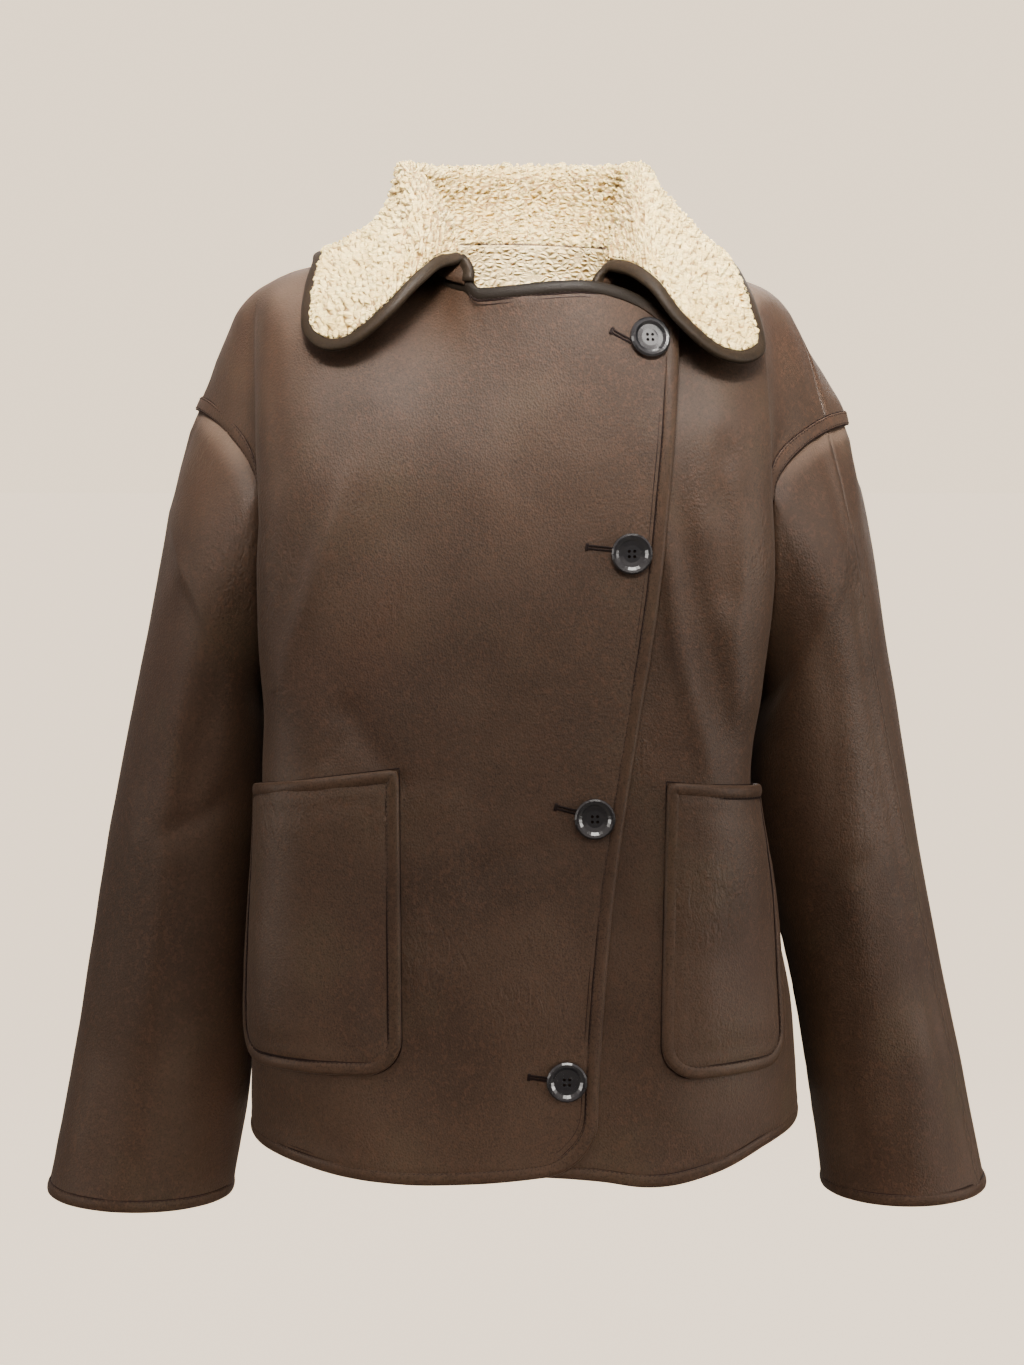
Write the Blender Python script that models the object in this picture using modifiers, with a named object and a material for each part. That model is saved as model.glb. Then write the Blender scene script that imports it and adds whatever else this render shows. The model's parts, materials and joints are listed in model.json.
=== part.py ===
"""A boxy jacket of bonded sherpa cloth, worn: an asymmetric buttoned front, drop shoulders, a big turned-over
collar, two patch pockets and a folded binding on every free edge.

The origin is the middle of the neck at shoulder height, where the wearer carries it. +Z is up, the front
faces -Y and +X is the wearer's left. Everything is in metres.
"""

import math

import bmesh
import bpy
import numpy as np
from mathutils import Matrix, Vector

JACKET = "sherpa_lined_jacket"

# ---------------------------------------------------------------- driving sizes
WALL = 0.003  # bonded cloth, suede side and pressed pile side
COLLAR_WALL = 0.005  # the same cloth with its pile standing
BIND_WIDTH = 0.009
BIND_THICK = 0.0052
COLLAR_BIND_EXTRA = 0.0002  # the collar's binding stands this far past its wall on each side
BAND_WIDTH = 0.0095
BAND_THICK = 0.0018
BAND_LIFT = 0.0012
BAND_FROM_SEAM = 0.0008
NECK_BINDING_X = -0.0335  # where the neckline's binding starts, at the collar's right end
NECK_INSET_X = -0.040  # from here the neckline is drawn in for its binding
NECK_INSET_RUN = 0.008
UNDERARM_Z = -0.290
CHEST_Z = -0.152
FRONT_CORNER_RADIUS = 0.033
POCKET_CORNER_RADIUS = 0.025
COLLAR_CORNER_RADIUS = 0.020
POCKET_LIFT = 0.0024  # the pocket's wall stands this far off the front
BUTTON_RADIUS = 0.0143
BUTTON_THICK = 0.0046
BUTTON_SEAT = 0.0006
BUTTON_SPIN = 11  # degrees that each hole's eight-sided section is turned
BUTTON_REST = 1.3  # the cloth this many radii round a button is what it rests on
UNDERLAP = 0.058  # the left front runs this far under the right one
OVERLAP_LIFT = 0.0055  # the right front lies this far outside the left one
UPPER_LIFT = (0.55, 0.115, 0.055)  # the upper front's share of it, from how far inside the edge, and its run
UNDER_SINK = (0.45, 0.030, 0.028)  # the same for the under front, from outside the edge
LIFT_DEPTH = (0.02, 0.06)  # the lift starts this far forward of the shoulders, and its run
CROWN = 0.06  # the front and back draw in by this share towards the sides

# Gaps that keep neighbouring pieces apart, where they are sewn to each other.
GAP_AT_SEAM = 0.00021
GAP_AT_SLEEVE_SEAM = 0.00018
GAP_AT_ARMHOLE = 0.00061
GAP_AT_ARMHOLE_VALLEY = 0.0012  # added where the sleeve turns sharply off the body
GAP_AT_BINDING = 0.00039
GAP_AT_CUFF = 0.0003
GAP_AT_POCKET = 0.00048
GAP_AT_COLLAR = 0.0006
GAP_AT_BINDING_END = 0.0008
GAP_AT_COLLAR_END = 0.002

# ---------------------------------------------------------------- tables
# The body's cross-sections, from the hem up to the chest. "right_half" is the wearer's right (-X).
SECTION_COLUMNS = (
    "z", "right_half", "left_half", "front", "back", "right_front_corner", "left_front_corner", "back_corner",
)
SECTIONS = (
    (-0.640, 0.1990, 0.2025, 0.130, 0.122, 0.112, 0.116, 0.080),
    (-0.606, 0.1985, 0.2015, 0.131, 0.120, 0.104, 0.112, 0.075),
    (-0.560, 0.1955, 0.1990, 0.131, 0.117, 0.070, 0.106, 0.066),
    (-0.515, 0.1936, 0.1940, 0.131, 0.115, 0.050, 0.094, 0.058),
    (-0.490, 0.1922, 0.1885, 0.131, 0.114, 0.046, 0.084, 0.054),
    (-0.450, 0.1898, 0.1785, 0.130, 0.112, 0.044, 0.066, 0.052),
    (-0.400, 0.1865, 0.1675, 0.129, 0.110, 0.044, 0.050, 0.051),
    (-0.355, 0.1850, 0.1620, 0.128, 0.108, 0.044, 0.044, 0.050),
    (-0.290, 0.1850, 0.1690, 0.128, 0.108, 0.044, 0.042, 0.048),
    (-0.225, 0.1852, 0.1765, 0.130, 0.110, 0.044, 0.042, 0.046),
    (-0.152, 0.1852, 0.1765, 0.131, 0.112, 0.044, 0.042, 0.046),
)

# The free edge of the upper front, top to bottom: z and x.
FREE_EDGE = (
    (-0.700, 0.0480),
    (-0.600, 0.0515),
    (-0.556, 0.0531),
    (-0.503, 0.0565),
    (-0.434, 0.0626),
    (-0.364, 0.0721),
    (-0.295, 0.0829),
    (-0.253, 0.0896),
    (-0.198, 0.0965),
    (-0.157, 0.1002),
    (-0.116, 0.1038),
    (-0.061, 0.1069),
    (-0.037, 0.1080),
)

# Hem height along each panel: the share of its row from the side seam, and z. The back starts at -X.
HEM_FRONT_RIGHT = (
    (0.00, -0.6130),
    (0.12, -0.6185),
    (0.35, -0.6260),
    (0.55, -0.6335),
    (0.66, -0.6356),
    (0.80, -0.6336),
    (1.00, -0.6265),
)
HEM_FRONT_LEFT = (
    (0.00, -0.6060),
    (0.20, -0.6110),
    (0.35, -0.6170),
    (0.50, -0.6295),
    (0.64, -0.6370),
    (0.82, -0.6325),
    (1.00, -0.6290),
)
HEM_BACK = ((0.0, -0.613), (0.25, -0.617), (0.5, -0.619), (0.75, -0.614), (1.0, -0.606))

# Shoulder seams from the armhole to the neck, as points. The left one lies further forward over the arm.
SHOULDER_RIGHT = (
    (-0.2392, 0.000, -0.0925),
    (-0.2303, 0.000, -0.0741),
    (-0.2235, 0.000, -0.0559),
    (-0.2161, 0.000, -0.0378),
    (-0.2072, 0.000, -0.0196),
    (-0.1955, 0.000, -0.0073),
    (-0.1735, 0.000, 0.0057),
    (-0.1500, 0.000, 0.0125),
    (-0.1150, 0.000, 0.0200),
    (-0.0780, 0.000, 0.0265),
)
SHOULDER_LEFT = (
    (0.2221, -0.030, -0.1075),
    (0.2198, -0.026, -0.0920),
    (0.2152, -0.020, -0.0750),
    (0.2115, -0.014, -0.0590),
    (0.2065, -0.008, -0.0440),
    (0.2005, -0.003, -0.0310),
    (0.1930, 0.000, -0.0185),
    (0.1800, 0.000, -0.0065),
    (0.1633, 0.000, 0.0008),
    (0.1450, 0.000, 0.0062),
    (0.1120, 0.000, 0.0150),
    (0.0780, 0.000, 0.0225),
)

# Necklines from the shoulder seam to the front edge, and round the back, as points.
NECK_FRONT_RIGHT = (
    (-0.0780, 0.000, 0.0265),
    (-0.0755, -0.035, 0.0195),
    (-0.0660, -0.075, 0.0060),
    (-0.0505, -0.100, -0.0060),
    (-0.0356, -0.110, -0.0108),
    (-0.0100, -0.119, -0.0102),
    (0.0180, -0.122, -0.0076),
    (0.0455, -0.120, -0.0069),
    (0.0660, -0.115, -0.0108),
    (0.0871, -0.110, -0.0198),
    (0.1080, -0.108, -0.0370),
)
NECK_FRONT_LEFT = (
    (0.0780, 0.000, 0.0225),
    (0.0755, -0.035, 0.0155),
    (0.0680, -0.070, 0.0020),
    (0.0580, -0.092, -0.0095),
    (0.0480, -0.1035, -0.0175),
)
NECK_BACK = (
    (-0.0780, 0.000, 0.0265),
    (-0.0720, 0.028, 0.0300),
    (-0.0540, 0.054, 0.0330),
    (-0.0290, 0.068, 0.0345),
    (0.0000, 0.072, 0.0345),
    (0.0290, 0.068, 0.0335),
    (0.0540, 0.054, 0.0310),
    (0.0720, 0.028, 0.0270),
    (0.0780, 0.000, 0.0225),
)

# Armholes: depth forward and back of the arm's middle, the top point's x and z, the shoulder seam's place
# round the hole, and how steeply the upper quarter rises.
ARMHOLE_RIGHT = (0.0765, 0.0620, -0.2392, -0.0925, 0.500, 1.43)
ARMHOLE_LEFT = (0.0765, 0.0620, 0.2382, -0.1035, 0.436, 1.30)

# Sleeves, from just under the armhole to the cuff: the outer point's x and z, the inner point's x and z,
# the depth forward and back, and the middle's y.
SLEEVE_RIGHT = (
    (-0.2536, -0.147, -0.1905, -0.303, 0.0810, 0.0700, 0.0000),
    (-0.2625, -0.188, -0.1895, -0.325, 0.0780, 0.0720, 0.0020),
    (-0.2740, -0.245, -0.1892, -0.352, 0.0730, 0.0720, 0.0050),
    (-0.2903, -0.320, -0.1902, -0.395, 0.0680, 0.0700, 0.0100),
    (-0.3065, -0.398, -0.1945, -0.450, 0.0640, 0.0670, 0.0150),
    (-0.3225, -0.490, -0.1995, -0.520, 0.0600, 0.0630, 0.0210),
    (-0.3395, -0.583, -0.2070, -0.598, 0.0570, 0.0590, 0.0270),
    (-0.3591, -0.678, -0.2205, -0.680, 0.0560, 0.0560, 0.0300),
)
SLEEVE_LEFT = (
    (0.2464, -0.147, 0.1790, -0.303, 0.0810, 0.0700, 0.0000),
    (0.2552, -0.188, 0.1725, -0.325, 0.0780, 0.0720, 0.0020),
    (0.2645, -0.245, 0.1690, -0.352, 0.0730, 0.0720, 0.0050),
    (0.2780, -0.320, 0.1725, -0.395, 0.0680, 0.0700, 0.0110),
    (0.2920, -0.398, 0.1860, -0.450, 0.0640, 0.0670, 0.0160),
    (0.3112, -0.490, 0.2025, -0.520, 0.0600, 0.0630, 0.0210),
    (0.3312, -0.583, 0.2172, -0.598, 0.0570, 0.0590, 0.0260),
    (0.3500, -0.673, 0.2275, -0.675, 0.0560, 0.0560, 0.0290),
)
CUFF_FRONT_DROP = 0.004
# How far round the sleeve the overarm seam lies from the outermost point, in degrees, top and cuff.
OVERARM_RIGHT = (0.0, -8.0)
OVERARM_LEFT = (53.0, 32.0)

# Large folds of the fronts and back: the top point's x and z, the bottom point's x and z, the height of the
# soft trough (-) or ridge (+), and its half width.
FOLDS_FRONT_RIGHT = (
    (-0.1960, 0.0040, -0.1960, -0.1750, -0.0060, 0.0120),
    (-0.1760, 0.0000, -0.1770, -0.2700, 0.0035, 0.0140),
    (-0.1250, -0.3000, -0.0860, -0.3560, -0.0022, 0.0100),
    (-0.0700, -0.1000, -0.1150, -0.3300, -0.0025, 0.0260),
)
FOLDS_FRONT_LEFT = (
    (0.1860, -0.0100, 0.1880, -0.1750, -0.0060, 0.0120),
    (0.1380, -0.1200, 0.1410, -0.2300, -0.0040, 0.0110),
    (0.1340, -0.1700, 0.1520, -0.3050, 0.0035, 0.0130),
)
FOLDS_BACK = (
    (-0.1500, -0.0600, -0.1250, -0.2800, -0.0040, 0.0200),
    (0.1400, -0.0600, 0.1200, -0.2600, -0.0035, 0.0200),
    (-0.0500, -0.2800, -0.0800, -0.5200, 0.0035, 0.0260),
    (0.0600, -0.2600, 0.0850, -0.5400, 0.0030, 0.0260),
)

# The collar, a line across it at each station, from the right front end to the left one. Each line runs from
# the neck seam up the stand to the roll, and down the leaf by four points to its edge.
COLLAR = (
    (
        (-0.0335, -0.1085, -0.0085), (-0.0330, -0.1080, 0.0005), (-0.0385, -0.1075, 0.0090),
        (-0.0500, -0.1150, 0.0060), (-0.0700, -0.1300, -0.0095), (-0.0935, -0.1360, -0.0330),
        (-0.1210, -0.1310, -0.0530), (-0.1525, -0.1180, -0.0540),
    ),
    (
        (-0.0480, -0.1010, -0.0045), (-0.0490, -0.0940, 0.0120), (-0.0480, -0.0860, 0.0260),
        (-0.0590, -0.1030, 0.0280), (-0.0800, -0.1220, 0.0080), (-0.1040, -0.1250, -0.0150),
        (-0.1310, -0.1180, -0.0310), (-0.1550, -0.1040, -0.0330),
    ),
    (
        (-0.0655, -0.0745, 0.0075), (-0.0605, -0.0680, 0.0240), (-0.0548, -0.0640, 0.0425),
        (-0.0640, -0.0840, 0.0470), (-0.0850, -0.1020, 0.0210), (-0.1080, -0.0990, 0.0030),
        (-0.1330, -0.0890, -0.0080), (-0.1550, -0.0770, -0.0120),
    ),
    (
        (-0.0750, -0.0380, 0.0200), (-0.0735, -0.0340, 0.0440), (-0.0710, -0.0320, 0.0705),
        (-0.0795, -0.0440, 0.0755), (-0.0920, -0.0560, 0.0430), (-0.1110, -0.0540, 0.0240),
        (-0.1330, -0.0460, 0.0150), (-0.1520, -0.0380, 0.0110),
    ),
    (
        (-0.0776, 0.0020, 0.0272), (-0.0790, 0.0020, 0.0560), (-0.0790, 0.0020, 0.0830),
        (-0.0880, 0.0020, 0.0855), (-0.0950, 0.0010, 0.0640), (-0.1040, 0.0000, 0.0470),
        (-0.1270, 0.0000, 0.0320), (-0.1505, 0.0000, 0.0205),
    ),
    (
        (-0.0638, 0.0435, 0.0332), (-0.0665, 0.0470, 0.0600), (-0.0660, 0.0480, 0.0870),
        (-0.0735, 0.0550, 0.0890), (-0.0805, 0.0640, 0.0620), (-0.0930, 0.0720, 0.0430),
        (-0.1080, 0.0790, 0.0280), (-0.1200, 0.0850, 0.0140),
    ),
    (
        (0.0000, 0.0716, 0.0358), (0.0000, 0.0765, 0.0640), (0.0000, 0.0770, 0.0910),
        (0.0000, 0.0870, 0.0930), (0.0000, 0.0990, 0.0660), (0.0000, 0.1090, 0.0420),
        (0.0000, 0.1180, 0.0220), (0.0000, 0.1260, 0.0030),
    ),
    (
        (0.0638, 0.0435, 0.0306), (0.0665, 0.0470, 0.0590), (0.0660, 0.0480, 0.0870),
        (0.0740, 0.0550, 0.0890), (0.0830, 0.0640, 0.0600), (0.0960, 0.0720, 0.0390),
        (0.1110, 0.0780, 0.0230), (0.1240, 0.0830, 0.0080),
    ),
    (
        (0.0776, 0.0020, 0.0235), (0.0785, 0.0020, 0.0540), (0.0765, 0.0020, 0.0830),
        (0.0855, 0.0020, 0.0855), (0.0990, 0.0000, 0.0670), (0.1150, -0.0020, 0.0480),
        (0.1350, -0.0040, 0.0280), (0.1515, -0.0060, 0.0135),
    ),
    (
        (0.0750, -0.0380, 0.0160), (0.0735, -0.0340, 0.0430), (0.0725, -0.0300, 0.0700),
        (0.0815, -0.0400, 0.0750), (0.0990, -0.0540, 0.0510), (0.1190, -0.0580, 0.0270),
        (0.1405, -0.0550, 0.0080), (0.1610, -0.0500, -0.0060),
    ),
    (
        (0.0672, -0.0725, 0.0030), (0.0670, -0.0670, 0.0240), (0.0665, -0.0620, 0.0440),
        (0.0760, -0.0790, 0.0470), (0.0965, -0.0985, 0.0240), (0.1180, -0.1010, -0.0010),
        (0.1425, -0.0960, -0.0210), (0.1670, -0.0860, -0.0320),
    ),
    (
        (0.0570, -0.0935, -0.0070), (0.0580, -0.0890, 0.0070), (0.0590, -0.0870, 0.0180),
        (0.0700, -0.1010, 0.0195), (0.0890, -0.1210, 0.0040), (0.1120, -0.1260, -0.0240),
        (0.1390, -0.1200, -0.0440), (0.1690, -0.1060, -0.0520),
    ),
    (
        (0.0440, -0.1050, -0.0130), (0.0470, -0.1045, -0.0050), (0.0545, -0.1060, 0.0015),
        (0.0655, -0.1150, -0.0005), (0.0850, -0.1310, -0.0130), (0.1070, -0.1380, -0.0380),
        (0.1340, -0.1350, -0.0590), (0.1680, -0.1180, -0.0640),
    ),
)

# Pockets: the width round the body, the share of it by which they are narrower half way down, the inner edge's
# x at top and bottom, and z at the top edge's inner and outer end and the bottom edge's inner and outer end.
POCKETS = {
    "right": (0.132, 0.0, -0.0860, -0.0843, -0.3425, -0.3590, -0.5575, -0.5540),
    "left": (0.108, 0.075, 0.0990, 0.0952, -0.3520, -0.3600, -0.5610, -0.5580),
}

# Buttons on the upper front, top to bottom: x and z.
BUTTONS = ((0.0859, -0.0465), (0.0741, -0.1941), (0.0492, -0.3773), (0.0301, -0.5606))
# A button's half section, from its back edge over the raised rim to the middle: shares of radius, thickness.
BUTTON_PROFILE = (
    (0.86, 0.0),
    (1.0, 0.38),
    (0.985, 0.72),
    (0.90, 1.0),
    (0.78, 0.94),
    (0.64, 0.56),
    (0.42, 0.50),
    (0.0, 0.50),
)
# The section of a binding or a band: shares of its half width and half thickness.
BAR_SECTION = ((-1.0, 0.0), (-0.62, 1.0), (0.62, 1.0), (1.0, 0.0), (0.62, -1.0), (-0.62, -1.0))
SEAM_COSINES = (0.3, 0.8)  # two normals at a seam count as apart, and as one surface
MITRE_LIMIT = 0.7  # a bar that turns is widened no further than by this cosine

BUTTON_HOLE_RADIUS = 0.0011
BUTTON_HOLE_SPREAD = 0.0026

# How the panels' rows lie: shares of a row from its side seam (0) to its end (1).
SHOULDER_SHARE = {"front_right": 0.36, "front_left": 0.56, "back": 0.27}
ARMHOLE_REACH = {"front": 0.30, "back": 0.17}  # how far in a row is drawn to the armhole's line
SEAM_FREE = {"front": 0.06, "back": 0.05}  # beside a side seam, free of folds
SHOULDER_FREE = 0.4  # share of the uppermost rows over which folds fade out
EDGE_FROM = 0.45  # from here a row above the chest is drawn to the free edge
FRONT_ROW_LENGTH = 0.33  # round the right front from its side seam to its free edge
FOLD_ENDS = (0.6, 3.5)  # how a fold starts and fades: its height at the end, and the rate

# How the collar's wall is laid out in its surface.
COLLAR_LEAF_POINT = 5  # the stations are spread by the distances between these points of their lines
COLLAR_WIDTH_COLUMN = 50  # the collar's width is measured along this column, low on the leaf
COLLAR_TUCK = (0.14, 0.16)  # the ends are drawn in further down to this share, and over this run
COLLAR_END_SHARES = (0.75, 0.25, 1.15)  # how much, at the right and left ends, and the left end's own factor

# Mesh density: rows hem to underarm, underarm to chest and chest to shoulder; columns over the shoulder and
# over the neckline.
ROWS = (11, 5, 6)
COLUMNS_FRONT_RIGHT = (7, 12)
COLUMNS_FRONT_LEFT = (7, 6)
COLUMNS_BACK = (7, 8)
LOW_SPACING = 1.25  # above 1 the rows crowd towards the hem
HIGH_SPACING = 0.8  # below 1 they crowd towards the chest
SLEEVE_ROWS = 15
SLEEVE_STEPS = 8
SLEEVE_FIRST_ROWS = (0.0, 0.010, 0.026)  # rows of a sleeve beside the armhole, along it
SLEEVE_EVEN_FROM = 0.048
BAND_ROWS = (9, 10, 20)
BAND_COLUMNS = {"front": (21, 6), "back": (21, 8)}
BAND_STEP = 0.010
CUFF_ROWS = 40
CUFF_STEPS = 16
NECK_LINE_POINTS = 201
COLLAR_STATIONS = 161
COLLAR_LINE_POINTS = 61
COLLAR_COLUMNS = 29
COLLAR_ROWS = 16
POCKET_ROWS = 10
BUTTON_ROWS = (24, 12, 24)
BUTTON_COLUMNS = (14, 40)
BUTTON_STEPS = 24
HOLE_STEPS = 8
SHARP_ANGLE = 50  # degrees from which an edge is drawn sharp
SAME_POINT = 1e-6
NORMAL_STEP = 1e-3  # a pocket's normals are read from points this far to both sides

# Colours, as linear red, green and blue.
SUEDE = (0.083, 0.048, 0.034, 1.0)
SUEDE_EDGE = (0.066, 0.039, 0.028, 1.0)
PILE = (0.79, 0.68, 0.50, 1.0)
BLACK_HORN = (0.012, 0.011, 0.011, 1.0)


# ---------------------------------------------------------------- curves and lines
def smooth(at, knots, values):
    """A smooth curve through values (numbers or points) given at knots."""
    knots = np.asarray(knots, float)
    values = np.asarray(values, float)
    slopes = np.gradient(values, knots, axis=0)
    at = np.clip(np.asarray(at, float), knots[0], knots[-1])
    left = np.clip(np.searchsorted(knots, at, side="right") - 1, 0, len(knots) - 2)
    step = knots[left + 1] - knots[left]
    part = (at - knots[left]) / step
    wide = part.shape + (1,) * (values.ndim - 1)
    part = part.reshape(wide)
    step = step.reshape(wide)
    rest = 1 - part
    ends = (1 + 2 * part) * rest**2 * values[left] + part**2 * (3 - 2 * part) * values[left + 1]
    return ends + step * part * rest * (rest * slopes[left] - part * slopes[left + 1])


def eased(value):
    """0 to 1 with a soft start and end."""
    value = np.clip(value, 0, 1)
    return value * value * (3 - 2 * value)


def along(points, count):
    """Points spread evenly along a smooth line through the given ones."""
    points = np.asarray(points, float)
    steps = np.linalg.norm(np.diff(points, axis=0), axis=1)
    at = np.concatenate([[0], np.cumsum(steps)])
    return smooth(np.linspace(0, at[-1], count), at, points)


def unit(vectors):
    return vectors / np.maximum(np.linalg.norm(vectors, axis=-1, keepdims=True), 1e-12)


def section(z):
    """The body's sizes at heights z, by column name."""
    table = np.array(SECTIONS)
    return {name: smooth(z, table[:, 0], table[:, i]) for i, name in enumerate(SECTION_COLUMNS)}


def free_edge(z):
    table = np.array(FREE_EDGE)
    return smooth(z, table[:, 0], table[:, 1])


# ---------------------------------------------------------------- the body's surface
def body_arc(arc, half, depth, corner):
    """x and depth from the middle, at an arc from the side seam along the side, round the corner and across."""
    straight = depth - corner
    angle = np.clip((arc - straight) / corner, 0, math.pi / 2)
    across = np.maximum(arc - straight - corner * math.pi / 2, 0)
    x = half - corner * (1 - np.cos(angle)) - across
    y = np.clip(arc, 0, straight) + corner * np.sin(angle)
    return x, y * (1 - CROWN * (x / half) ** 2)


def body_point(side, face, z, share, end_x, start_depth):
    """A point on the body. side is -1 or 1 for -X or +X, face -1 or 1 for front or back."""
    sizes = section(z)
    half = sizes["right_half"] if side < 0 else sizes["left_half"]
    depth = sizes["front"] if face < 0 else sizes["back"]
    front_corner = sizes["right_front_corner"] if side < 0 else sizes["left_front_corner"]
    corner = front_corner if face < 0 else sizes["back_corner"]
    start = start_depth / (1 - CROWN)
    whole = depth - corner + corner * math.pi / 2 + (half - corner) - side * end_x
    x, y = body_arc(start + share * (whole - start), half, depth, corner)
    return np.stack(np.broadcast_arrays(side * x, face * y, z), axis=-1)


def armhole(side, q):
    """The armhole's line: q is 0 and 1 at the underarm, 0.25 in front, 0.5 on top and 0.75 behind."""
    front, back, top_x, top_z, _, steep = ARMHOLE_RIGHT if side < 0 else ARMHOLE_LEFT
    q = np.asarray(q, float)
    face = np.where(q <= 0.5, -1.0, 1.0)
    reach = np.where(q <= 0.5, front, back)
    turn = np.where(q <= 0.5, q, 1 - q) * 2 * math.pi
    lower = turn <= math.pi / 2
    sine = np.clip(np.sin(np.where(lower, turn, math.pi - turn)), 0, 1)
    rise = np.clip(np.sin(np.where(lower, 0, turn - math.pi / 2)), 0, 1) ** steep
    inward = 1 - np.clip(np.cos(np.where(lower, 0, turn - math.pi / 2)), 0, 1) ** steep
    drop = np.cos(np.where(lower, turn, math.pi / 2))
    z = np.where(lower, CHEST_Z - (CHEST_Z - UNDERARM_Z) * drop, CHEST_Z + (top_z - CHEST_Z) * rise)
    sizes = section(np.minimum(z, CHEST_Z))
    wall_x = side * (sizes["right_half"] if side < 0 else sizes["left_half"])
    x = wall_x + (top_x - wall_x) * inward
    return np.stack([x, face * reach * sine, z], axis=-1)


def hem_height(table, share):
    table = np.array(table)
    return smooth(share, table[:, 0], table[:, 1])


def corner_rise(distance):
    """How much the hem of the upper front rises at a distance from its free edge, for the rounded corner."""
    inside = np.clip(FRONT_CORNER_RADIUS - distance, 0, FRONT_CORNER_RADIUS)
    return FRONT_CORNER_RADIUS - np.sqrt(FRONT_CORNER_RADIUS**2 - inside**2)


def folded(points, normals, folds):
    """Moves points along their normals by the soft troughs and ridges of a table."""
    start, rate = FOLD_ENDS
    for x_top, z_top, x_bottom, z_bottom, height, half_width in folds:
        run = np.array([x_bottom - x_top, z_bottom - z_top])
        length = np.linalg.norm(run)
        run = run / length
        dx = points[..., 0] - x_top
        dz = points[..., 2] - z_top
        down = (dx * run[0] + dz * run[1]) / length
        off = (dx * run[1] - dz * run[0]) / half_width
        ends = eased(down * rate + start) * eased((1 - down) * rate + start)
        points = points + (height * ends * np.exp(-(off**2)))[..., None] * normals
    return points


def arch_slope(line):
    """How much y changes with z where the arched chest of the right front reaches the neckline."""
    sizes = section(CHEST_Z)
    chest = -sizes["front"] * (1 - CROWN * (line[:, 0] / sizes["right_half"]) ** 2)
    turn = np.arccos(np.clip(line[:, 1] / chest, 0, 0.99))
    forward = (line[:, 1] - chest) * np.sin(turn) / (1 - np.cos(turn))
    upward = (line[:, 2] - CHEST_Z) * np.cos(turn) / np.sin(turn)
    return forward / upward


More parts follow.
